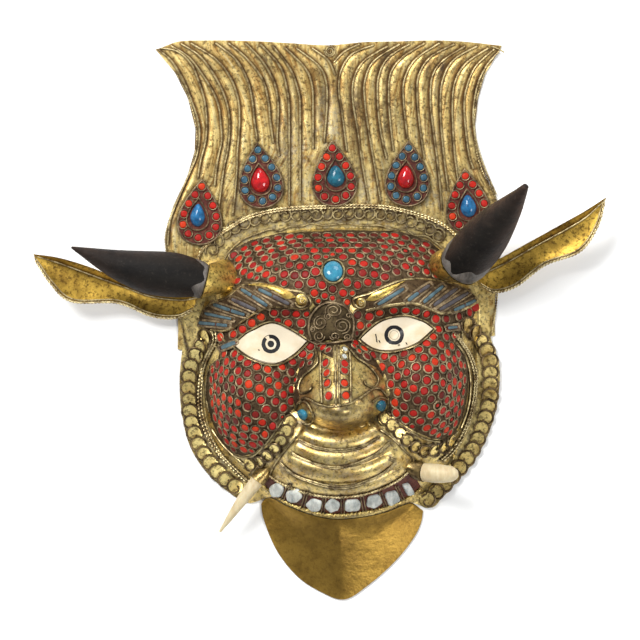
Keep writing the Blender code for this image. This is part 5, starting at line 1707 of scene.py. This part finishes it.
def medallion():
    """The disc between the brows: a dark ground, its rim and foot wires, and the spirals on it."""
    plate, wires = Work(), Work()
    middle = spot(MEDALLION_MIDDLE)
    outline = []
    for pixel in MEDALLION_RING:
        x, y = spot(pixel)
        outline.append((x - middle[0], y - middle[1]))
    smooth = []
    for i in range(len(outline)):
        near = [outline[(i + m) % len(outline)] for m in (-1, 0, 1, 2)]
        for k in range(MEDALLION_CUTS):
            smooth.append(tuple(hermite(*axis, k / MEDALLION_CUTS) for axis in zip(*near)))
    scribed(plate, middle, smooth, MEDALLION_PROFILE)
    plate.make("medallion_plate", "ground", "wire_brass", "brow_medallion")
    lift, thickness = MEDALLION_RIM_WIRE
    wires.tube(course(MEDALLION_RING, on_face, lift), thickness, 8, squash=1.5)
    lift, thickness = MEDALLION_FOOT_WIRE
    wires.tube(course(MEDALLION_FOOT, on_face, lift), thickness, 8)
    for x, y, radius, bearing, turns in MEDALLION_SPIRALS:
        scroll(wires, (x, y), radius, bearing, turns * MEDALLION_WINDING, *MEDALLION_SPIRAL_WIRE)
    wires.make("medallion_scrolls", "ring_wire", "wire_brass")


FOREHEAD_GEM_RADIUS = 0.0063
FOREHEAD_GEM_BASE = 0.0010
FOREHEAD_GEM_RISE = 0.0024
FOREHEAD_RING_RADIUS = 11.2
FOREHEAD_RING_LIFT = 0.0009
FOREHEAD_RING_WIRE = 0.0008
FOREHEAD_SIDES = 40


def forehead_turquoise():
    """The round turquoise of the forehead, in its ring."""
    gem, collar = Work(), Work()
    profile = [(math.cos(a), FOREHEAD_GEM_BASE + FOREHEAD_GEM_RISE * math.sin(a))
               for a in (0.0, 0.25, 0.5, 0.75, 1.0, 1.25)]
    outline = circle(FOREHEAD_GEM_RADIUS, FOREHEAD_GEM_RADIUS, FOREHEAD_SIDES)
    scribed(gem, spot(FOREHEAD_STONE), outline, profile)
    gem.make("forehead_turquoise", "forehead_turquoise", "turquoise", "forehead_stone")
    ring = shifted(circle(FOREHEAD_RING_RADIUS, FOREHEAD_RING_RADIUS, FOREHEAD_SIDES), *FOREHEAD_STONE)
    path = course(ring, on_face, FOREHEAD_RING_LIFT, closed=True)
    collar.tube(path, FOREHEAD_RING_WIRE, 8, closed=True, squash=1.4)
    collar.make("forehead_ring", "wire", "wire_brass", "forehead_collar")


# Teeth: middle pixel, width and height in pixels.
TEETH = ((278, 489, 13, 15), (295, 495, 14, 14), (315, 504, 15, 14), (333, 504, 13, 14), (352, 504, 15, 13),
         (373, 500, 15, 13), (391, 497, 14, 14), (407, 488, 8, 15))
TOOTH_SIDES = 36
TOOTH_SHARPNESS = 7
TOOTH_BULGE = 1.16
TOOTH_PROFILE = ((1.0, 0.0018), (0.93, 0.0026), (0.7, 0.0030), (0.35, 0.0031))
MOUTH_STEPS = 90
MOUTH_PROFILE = ((0, 0.0004), (0.12, 0.0010), (0.5, 0.0012), (0.88, 0.0010), (1, 0.0002))
RESIN_ABOVE_FOOT = -3
CELL_SPREAD = 1.4
CELL_REACHES = (-9, 0, 8.5)
SMILE_CENTRE_DROP = 52
TOOTH_WIRE_LIFT = 0.0012
SOLDER_SHIFT = -1.5
SOLDER_LIFT = 0.0006
SOLDER_STEP = 0.5
SOLDER_UNEVENNESS = (-0.0002, 0.0003)
SOLDER_WIDTH = 0.0013
SOLDER_PITCH = 0.0031


def mouth_band():
    """The band of resin that the teeth are set in."""
    band = Work()
    upper = spots(MOUTH_ROPE)
    lower = spots(shifted(TEETH_FOOT, 0, RESIN_ABOVE_FOOT))
    rows = []
    for i in range(MOUTH_STEPS + 1):
        u = i / MOUTH_STEPS
        row = []
        for v, lift in MOUTH_PROFILE:
            x, y = (mix(a, b, v) for a, b in zip(spline_point(upper, u), spline_point(lower, u)))
            row.append(band.add(above_face(x, y, lift)))
        rows.append(row)
    for first, second in zip(rows, rows[1:]):
        band.bridge(second, first, closed=False)
    band.make("mouth_resin", "resin", "wire_brass")


def tooth_chip(number, x, y, width, height):
    """A rough chip of shell: a few straight cuts, rounded where they meet."""
    tooth = Work()
    centre = spot((x, y))
    lean = math.atan2(centre[0] - NOSE_ROOT[0] * SHARE, NOSE_ROOT[1] * SHARE - centre[1])
    phase = RANDOM.uniform(-0.4, 0.4)
    count = RANDOM.choice((4, 5, 5))
    cuts = [(math.tau * k / count + phase + RANDOM.uniform(-0.25, 0.25), RANDOM.uniform(0.84, 1.04))
            for k in range(count)]
    outline = []
    for k in range(TOOTH_SIDES):
        angle = math.tau * k / TOOTH_SIDES
        nearness = sum(max(0.0, math.cos(angle - turn) / reach) ** TOOTH_SHARPNESS for turn, reach in cuts)
        rough = min(max(nearness, 0.1) ** (-1 / TOOTH_SHARPNESS), TOOTH_BULGE)
        a = width / 2 * PIXEL * rough * math.cos(angle)
        b = height / 2 * PIXEL * rough * math.sin(angle)
        outline.append((a * math.cos(lean) - b * math.sin(lean), a * math.sin(lean) + b * math.cos(lean)))
    scribed(tooth, centre, outline, TOOTH_PROFILE)
    tooth.make(f"tooth_chip_{number}", "shell", "shell", f"tooth_{number}")


def mouth():
    """The resin band, the teeth, the pairs of wire between them and the solder under them."""
    mouth_band()
    for number, row in enumerate(TEETH, start=1):
        tooth_chip(number, *row)
    cells, solder = Work(), Work()
    for (x0, y0, _, _), (x1, y1, _, _) in zip(TEETH, TEETH[1:]):
        for shift in (-CELL_SPREAD, CELL_SPREAD):
            foot = Vector(((x0 + x1) / 2 + shift, (y0 + y1) / 2))
            away = (foot - Vector(MIDDLE_PIXEL) - Vector((0, SMILE_CENTRE_DROP))).normalized()
            wall = [tuple(foot + away * reach) for reach in CELL_REACHES]
            cells.tube(course(wall, on_face, TOOTH_WIRE_LIFT), FINE_WIRE, 6, squash=2.0)
    cells.make("tooth_cells", "dark_wire", "wire_brass")
    line = course(shifted(TEETH_FOOT, 0, SOLDER_SHIFT), on_face, SOLDER_LIFT, SOLDER_STEP)
    rough_line = [p + Vector((0, 0, RANDOM.uniform(*SOLDER_UNEVENNESS))) for p in line]
    solder.tube(rough_line, SOLDER_WIDTH, 8, lobes=1, pitch=SOLDER_PITCH)
    solder.make("mouth_solder", "solder", "face_brass")


# Nostril stones: middle pixel, lean and look.
NOSTRILS = {"left": ((303, 414), 0.5, "forehead_turquoise"), "right": ((380, 405), -0.5, "teal_glass")}
NOSTRIL_SIZE = (0.0026, 0.0037)
NOSTRIL_PROFILE = ((1.0, 0.0012), (0.85, 0.0020), (0.5, 0.0024))


def nostrils():
    for side, (pixel, turn, look) in NOSTRILS.items():
        work = Work()
        scribed(work, spot(pixel), circle(*NOSTRIL_SIZE, 24, turn), NOSTRIL_PROFILE)
        work.make(f"nostril_turquoise_{side}", look, "turquoise", f"nostril_stone_{side}")


# Chin: the bearings that it hangs between, its free edge in shares, and its keel.
CHIN_BEARINGS = (240.0, 300.0)
CHIN_EDGE = ((-51, -122), (-49, -133), (-40.5, -153), (-27, -170), (-12, -180), (4, -185.4), (20, -176),
             (38, -160), (50, -145), (55, -135), (56.5, -126.5))
CHIN_COLUMNS = 120
CHIN_ROWS = 60
CHIN_KEEL = 24.0
CHIN_FALL = 1.15
CHIN_HOLLOW = 0.9
LAP_GAP = 0.0005


def chin():
    """The keeled leaf of sheet soldered under the mouth."""
    work = Work()
    root = Vector(NOSE_ROOT) * SHARE
    rows = []
    for j in range(CHIN_ROWS + 1):
        v = j / CHIN_ROWS
        row = []
        for i in range(CHIN_COLUMNS + 1):
            u = i / CHIN_COLUMNS
            bearing = math.radians(mix(*CHIN_BEARINGS, u))
            ray = Vector((math.cos(bearing), math.sin(bearing)))
            edge = root + ray * RIM.radius(bearing) * SHARE
            arch = face_top(*edge) - CHIN_SHEET
            place = (edge + ray * LAP_GAP).lerp(Vector(spline_point(CHIN_EDGE, u)) * SHARE, v)
            keel = CHIN_KEEL * (1 - abs(2 * u - 1)) * SHARE
            height = mix(arch, keel, smooth_step(2.5 * v)) * (1 - v) ** CHIN_FALL + CHIN_SHEET
            row.append(Vector((*place, height)))
        rows.append(row)
    top = [[work.add(p, 0.0, 0.3) for p in row] for row in rows]
    # The underside is darkened as painted shade.
    below = [[work.add(p - Vector((0, 0, CHIN_SHEET * CHIN_HOLLOW)), 0.3, 0.2) for p in row] for row in rows]
    close_sheet(work, top, below)
    work.make("chin_leaf", "chin", "chin_gold", "chin_plate")


# Ears: the upper edge, the crease and the lower edge of each, in shares, from the tip to the face.
EARS = {
    "left": {
        "upper": ((-201, 43.5, 27), (-184, 41, 27), (-164, 35, 24), (-144, 27, 18), (-124, 19.5, 12),
                  (-104, 16, 9.5), (-92, 17, 5.2)),
        "crease": ((-200.5, 42, 24), (-184, 36, 20), (-164, 28, 16), (-144, 21, 12), (-124, 14, 8),
                   (-104, 12, 6), (-93, 14, 5.2)),
        "lower": ((-200, 39.5, 25), (-190, 24, 24), (-176, 12, 21), (-146, 11, 16), (-124, 2.5, 12),
                  (-108, 1, 8.5), (-97, 6, 5.2)),
    },
    "right": {
        "upper": ((177, 81, 27), (163, 72, 27), (148, 63.5, 24), (131, 54, 20), (113, 44, 14), (101, 37, 10),
                  (92, 30, 5.2)),
        "crease": ((177, 80, 24), (164, 66, 20), (148, 56, 16), (131, 47, 12.5), (114, 37, 8.5), (101, 31, 6),
                   (93, 27, 5.2)),
        "lower": ((176, 78, 25), (172, 62, 24), (160, 45, 21), (137, 36, 17), (118, 22, 12.5), (104, 18, 8.5),
                  (96, 22, 5.2)),
    },
}
EAR_COLUMNS = 90
EAR_ROWS = 20
EAR_FOLD_ROWS = 5
EAR_CREASE_SHIFT = 0.3
EAR_HOLLOW = 0.12
EAR_FLATTENS = 0.75
EAR_SEATED = 0.84
EAR_INNER_ROW = 8
EAR_EDGE_LIFT = 0.0003
# Wires of an ear: the row that each follows, how far in from it, its radius and its strands.
EAR_WIRES = (
    (EAR_FOLD_ROWS + EAR_ROWS, 0.0004, 0.00095, 2), (EAR_FOLD_ROWS + EAR_ROWS, 0.0022, 0.0005, 0),
    (EAR_FOLD_ROWS, 0.0, 0.0005, 0),
)
EAR_WIRE_CUTS = 5


def ear(side):
    """A leaf of sheet folded along a crease near its upper edge, edged with a milled wire."""
    edges = EARS[side]
    work, border = Work(), Work()
    rows = []
    for i in range(EAR_COLUMNS + 1):
        u = i / EAR_COLUMNS
        upper, crease, lower = (spline_point(edges[key], u) for key in ("upper", "crease", "lower"))
        crease = tuple(mix(a, b, EAR_CREASE_SHIFT) for a, b in zip(crease, upper))
        row = [tuple(mix(a, b, k / EAR_FOLD_ROWS) for a, b in zip(upper, crease))
               for k in range(EAR_FOLD_ROWS)]
        for k in range(EAR_ROWS + 1):
            v = k / EAR_ROWS
            x, y, z = (mix(a, b, v) for a, b in zip(crease, lower))
            hollow = 4 * v * (1 - v) * EAR_HOLLOW * math.hypot(crease[0] - lower[0], crease[1] - lower[1])
            row.append((x, y, z - hollow * (1 - smooth_step(4 * (u - EAR_FLATTENS)))))
        seated = []
        for x, y, z in row:
            x, y, z = x * SHARE, y * SHARE, z * SHARE
            floor = face_top(x, y) + SEAT_GAP + EAR_SHEET if u > EAR_SEATED else 0
            seated.append(Vector((x, y, max(z, floor))))
        rows.append(seated)
    top, below = [], []
    for row in rows:
        top.append([])
        for k, p in enumerate(row):
            # Darker at the crease and along the edges, as dirt and painted shade.
            near_crease = clamp(1 - abs(k - EAR_FOLD_ROWS) / 2.5)
            near_edge = clamp(1 - min(k, len(row) - 1 - k) / 2.0) * 0.6
            top[-1].append(work.add(p, max(near_crease, near_edge)))
        # The underside is darkened as painted shade.
        below.append([work.add(p - Vector((0, 0, EAR_SHEET)), 0.3) for p in row])
    close_sheet(work, top, below)
    work.make(f"ear_leaf_{side}", "ear", "ear_gold", f"ear_{side}")
    for column, inset_by, radius, lobes in EAR_WIRES:
        path = []
        for row in rows[1:]:
            toward = (row[EAR_INNER_ROW] - row[column]).normalized()
            path.append(row[column] + toward * inset_by + Vector((0, 0, EAR_EDGE_LIFT)))
        fine = [path[0]]
        for first, second in zip(path, path[1:]):
            for k in range(1, EAR_WIRE_CUTS + 1):
                fine.append(first.lerp(second, k / EAR_WIRE_CUTS))
        border.tube(fine, radius, 8, lobes=lobes)
    border.make(f"ear_edge_{side}", "pale_wire", "ear_gold")


# Horns and fangs, in shares: the middle line and the radii along it, the seat of the socket on the face, and
# the radius of its mouth. A horn also has the strength of the sheen painted on its flanks, and the width and
# waves of its glue.
HORNS = {
    "left": {
        "line": ((-88, 25.5, 28), (-98, 28, 29), (-108, 29.6, 30.5), (-124, 31.3, 33), (-141, 35.3, 36.5),
                 (-154, 39.6, 40), (-167, 44.6, 44), (-175, 47.7, 47)),
        "radii": (11.0, 13.6, 14.8, 14.4, 11.2, 7.5, 3.4, 0.8),
        "seat": (-75, 29.5),
        "seat_size": (8.5, 11.0),
        "mouth_radius": 12.2,
        "flank_sheen": 0.45,
        "glue_width": 0.55,
        "glue_lobes": 3,
    },
    "right": {
        "line": ((80, 35, 29), (85.5, 41, 35), (91, 47.5, 42), (98, 56, 52), (105, 64.5, 62.5),
                 (111.5, 72.5, 73), (117.5, 80.5, 84), (122, 87, 93)),
        "radii": (14.2, 15.6, 16.0, 15.0, 12.4, 9.0, 5.2, 2.2),
        "seat": (70, 37),
        "seat_size": (10.0, 10.0),
        "mouth_radius": 14.8,
        "flank_sheen": 1.0,
        "glue_width": 1.15,
        "glue_lobes": 2,
    },
}
FANGS = {
    "left": {
        "line": ((-53.5, -106.5, 20), (-60, -114.5, 20), (-68, -125.5, 18.5), (-78, -140, 15)),
        "radii": (4.6, 4.2, 3.0, 0.9),
        "seat": (-50, -102),
        "seat_size": (5.2, 5.2),
        "mouth_radius": 5.2,
    },
    "right": {
        "line": ((57, -100.5, 26), (63, -101, 29), (69, -101.3, 32), (75, -101.5, 35), (78, -101.6, 36.5)),
        "radii": (6.3, 6.4, 6.1, 5.2, 3.0),
        "seat": (51.5, -99),
        "seat_size": (6.6, 6.6),
        "mouth_radius": 6.6,
    },
}
SOCKET_GAP = 0.0004
SOCKET_SEAT_DEPTH = -0.0006
HEADING_STEP = 0.01
SMALLEST_RADIUS = 0.4
HORN_ROUGHNESS = 0.035
FANG_ROUGHNESS = 0.05
HORN_SOCKET_LIFT = 2.4
FANG_SOCKET_LIFT = 0.6
# Old glue: how far each ring lies along the horn, and its radius as a share of the horn's.
GLUE_RINGS = ((0.0, 1.0), (0.02, 1.035), (0.06, 1.05), (0.10, 1.02), (0.13, 0.99))
GLUE_SPREAD = 0.55
GLUE_SIDES = 48


def line_frame(line, u, back):
    """Middle, heading, side and upward direction of a curved line at share u, looking back by a share."""
    centre = Vector(spline_point(line, u))
    behind = Vector(spline_point(line, u - back))
    along = (Vector(spline_point(line, u + HEADING_STEP)) - behind).normalized()
    side = along.cross(Vector((0, 0, 1))).normalized()
    return centre, along, side, side.cross(along)


def row_radius(row, u):
    return spline_point([(r,) for r in row["radii"]], u)[0]


def tapered(work, row, stations, sides, rough, flank_sheen_strength):
    """A horn or fang: round sections along a smooth curve, slightly uneven, with a blunt tip."""
    line = [Vector(p) * SHARE for p in row["line"]]
    rings = []
    for i in range(stations + 1):
        u = i / stations
        centre, along, side, up = line_frame(line, u, HEADING_STEP)
        radius = max(row_radius(row, u), SMALLEST_RADIUS) * SHARE
        ring = []
        for k in range(sides):
            angle = math.tau * k / sides
            uneven = 1 - rough * (0.5 + 0.5 * math.sin(3 * angle + 5 * u) * math.cos(9 * u + angle))
            reach = radius * uneven
            ring.append(centre + side * reach * math.cos(angle) + up * reach * math.sin(angle))
        rings.append(ring)
    first = len(work.points)
    work.loft(rings, line[0], line[-1] + along * radius * 0.5)
    for i in range(stations + 1):
        for k in range(sides):
            # Painted sheen: the flanks, which face sideways, are browner, and so is the tip.
            flank_sheen = abs(math.cos(math.tau * k / sides)) ** 3
            work.values["grime_and_painted_light"][first + i * sides + k] = clamp(flank_sheen * flank_sheen_strength + (i / stations) ** 6)


def ferrule(work, row, lift_share, sides=40, steps=12):
    """A sheet cup that rises from the face and turns out to hold a horn's or fang's butt."""
    butt, inner = (Vector(p) * SHARE for p in row["line"][:2])
    along = (inner - butt).normalized()
    bearing = math.atan2(along.y, along.x)
    sideways = Vector((-math.sin(bearing), math.cos(bearing), 0))
    up = along.cross(sideways)
    if up.z < 0:
        up = -up
    mouth_at = butt - along * SOCKET_GAP
    radius = row["mouth_radius"] * SHARE
    seat = Vector(row["seat"]) * SHARE

    def rim_point(angle, share):
        turned = angle - bearing
        return mouth_at + (sideways * math.sin(turned) - up * math.cos(turned)) * radius * share

    def seat_point(angle):
        x = seat.x + row["seat_size"][0] * SHARE * math.cos(angle)
        y = seat.y + row["seat_size"][1] * SHARE * math.sin(angle)
        return above_face(x, y, SOCKET_SEAT_DEPTH)

    angles = [math.tau * k / sides for k in range(sides)]
    rings = []
    for step in range(steps + 1):
        t = step / steps
        lift = Vector((0, 0, lift_share * SHARE * math.sin(math.pi * t)))
        rings.append([seat_point(a).lerp(rim_point(a, 1.0), t) + lift for a in angles])
    rings.append([rim_point(a, 0.9) for a in angles])
    rings.append([rim_point(a, 0.5) for a in angles])
    work.loft(rings, None, mouth_at)


def glue_ring(work, row):
    """Old grey glue smeared round the butt, in an uneven band."""
    line = [Vector(p) * SHARE for p in row["line"]]
    lobes = row["glue_lobes"]
    rings = []
    for u, grow in GLUE_RINGS:
        ring = []
        for k in range(GLUE_SIDES):
            angle = math.tau * k / GLUE_SIDES
            wave = row["glue_width"] * (1 + GLUE_SPREAD * math.sin(lobes * angle + 1)
                                        + 0.5 * GLUE_SPREAD * math.sin(7 * angle))
            share = clamp(u * wave, 0.0, 0.5)
            centre, _, side, up = line_frame(line, share, 0.0)
            radius = row_radius(row, share) * SHARE * grow
            ring.append(centre + side * radius * math.cos(angle) + up * radius * math.sin(angle))
        rings.append(ring)
    work.loft(rings)


def horn_and_fang(side):
    """The horn, its socket and its old glue, and the fang in its collet, all of one side."""
    horn, socket, glue, fang, collet = Work(), Work(), Work(), Work(), Work()
    tapered(horn, HORNS[side], 90, 56, HORN_ROUGHNESS, HORNS[side]["flank_sheen"])
    horn.make(f"horn_body_{side}", "horn", "horn", f"horn_{side}")
    ferrule(socket, HORNS[side], HORN_SOCKET_LIFT)
    socket.make(f"socket_cup_{side}", "socket", "socket_gilt", f"horn_socket_{side}")
    glue_ring(glue, HORNS[side])
    glue.make(f"horn_glue_{side}", "glue", "horn")
    tapered(fang, FANGS[side], 40, 32, FANG_ROUGHNESS, 0.0)
    fang.make(f"fang_body_{side}", "fang", "bone", f"fang_{side}")
    ferrule(collet, FANGS[side], FANG_SOCKET_LIFT, 28, 6)
    collet.make(f"fang_cup_{side}", "collet", "socket_gilt", f"fang_collet_{side}")


FLOOR_HALF = 30.0
FLOOR_LEVEL = -0.0002
WORLD_COLOUR = (0.95, 0.97, 1.0, 1)
WORLD_STRENGTH = 0.42
# Lights: name, place, diameter and watts.
LIGHTS = (
    ("key", (-1.0, 1.2, 1.9), 1.1, 70),
    ("fill", (1.5, -0.8, 1.8), 1.0, 28),
    ("back", (0.5, 1.9, 0.9), 1.0, 14),
)
CAMERA_DISTANCE = 5.0
CAMERA_SENSOR = 36
SUBJECT_HEIGHT = 0.025


def studio():
    """Pale floor, large soft lights and a camera straight above, framed as the photograph."""
    scene = bpy.context.scene
    scene.view_settings.view_transform = "Standard"
    floor_mesh = bpy.data.meshes.new("floor")
    corners = [(x * FLOOR_HALF, y * FLOOR_HALF, FLOOR_LEVEL) for x, y in ((-1, -1), (1, -1), (1, 1), (-1, 1))]
    floor_mesh.from_pydata(corners, [], [(0, 1, 2, 3)])
    floor = bpy.data.objects.new("floor", floor_mesh)
    scene.collection.objects.link(floor)
    paper = Look("paper", 0.0, 0.9)
    paper.colour(paper.ramp(paper.noise(3.0, 2, 0.5), ((0.3, (0.90, 0.90, 0.89)), (0.7, (0.92, 0.92, 0.91)))))
    floor_mesh.materials.append(paper.material)
    world = bpy.data.worlds.new("studio")
    scene.world = world
    world.use_nodes = True
    background = world.node_tree.nodes["Background"]
    background.inputs["Color"].default_value = WORLD_COLOUR
    background.inputs["Strength"].default_value = WORLD_STRENGTH
    for name, place, size, power in LIGHTS:
        lamp = bpy.data.lights.new(name, "AREA")
        lamp.shape = "DISK"
        lamp.size = size
        lamp.energy = power
        holder = bpy.data.objects.new(name, lamp)
        holder.location = place
        holder.rotation_mode = "QUATERNION"
        holder.rotation_quaternion = Vector(place).to_track_quat("Z", "Y")
        scene.collection.objects.link(holder)
    camera = bpy.data.cameras.new("camera")
    camera.sensor_width = CAMERA_SENSOR
    camera.lens = CAMERA_SENSOR * (CAMERA_DISTANCE - SUBJECT_HEIGHT) / (PICTURE_SIDE * PIXEL)
    camera.clip_end = 100
    holder = bpy.data.objects.new("camera", camera)
    x, y = spot(PICTURE_CENTRE)
    holder.location = Vector((x, y, CAMERA_DISTANCE)) + OFFSET
    scene.collection.objects.link(holder)
    scene.camera = holder


# Irises: middle pixel; outer radius and ink of each painted ring; and the notch, whose bearing 9 is nowhere.
IRISES = {
    "left": ((271, 344), ((3.3, 1.0), (5.5, 0.0), (9.3, 1.0)), (2.05, 0.24, 4.6, 8.7)),
    "right": ((394, 335), ((4.1, 0.0), (4.8, 0.5), (6.0, 0.0), (9.8, 1.0)), (9.0, 0.0, 0.0, 0.0)),
}


def iris_looks():
    """Gives each eye the look that has its own iris, in the frame's coordinates."""
    for side, (pixel, rings, (bearing, half_notch, notch_start, notch_end)) in IRISES.items():
        x, y = spot(pixel)
        centre = (x + OFFSET.x, y + OFFSET.y)
        sized = tuple((radius * PIXEL, shade) for radius, shade in rings)
        notch = (bearing, half_notch, notch_start * PIXEL, notch_end * PIXEL)
        LOOKS[f"eye_{side}"] = eye_look(f"eye_{side}", centre, sized, notch)


iris_looks()
rim_ornament()
ropes()
face_wires()
coral_chips()
coral_bed()
crown_hair()
for number in range(1, len(DROPS) + 1):
    crown_drop(number)
eyes()
brow_plate("left", LEFT_BROW_OUTER)
brow_plate("right", RIGHT_BROW_OUTER)
brow_strips()
brow_ends()
medallion()
forehead_turquoise()
mouth()
nostrils()
chin()
ear("left")
ear("right")
horn_and_fang("left")
horn_and_fang("right")
find_dirt_and_shade = DirtAndShade()
face_sheet(find_dirt_and_shade)
crown_sheet(find_dirt_and_shade)
studio()
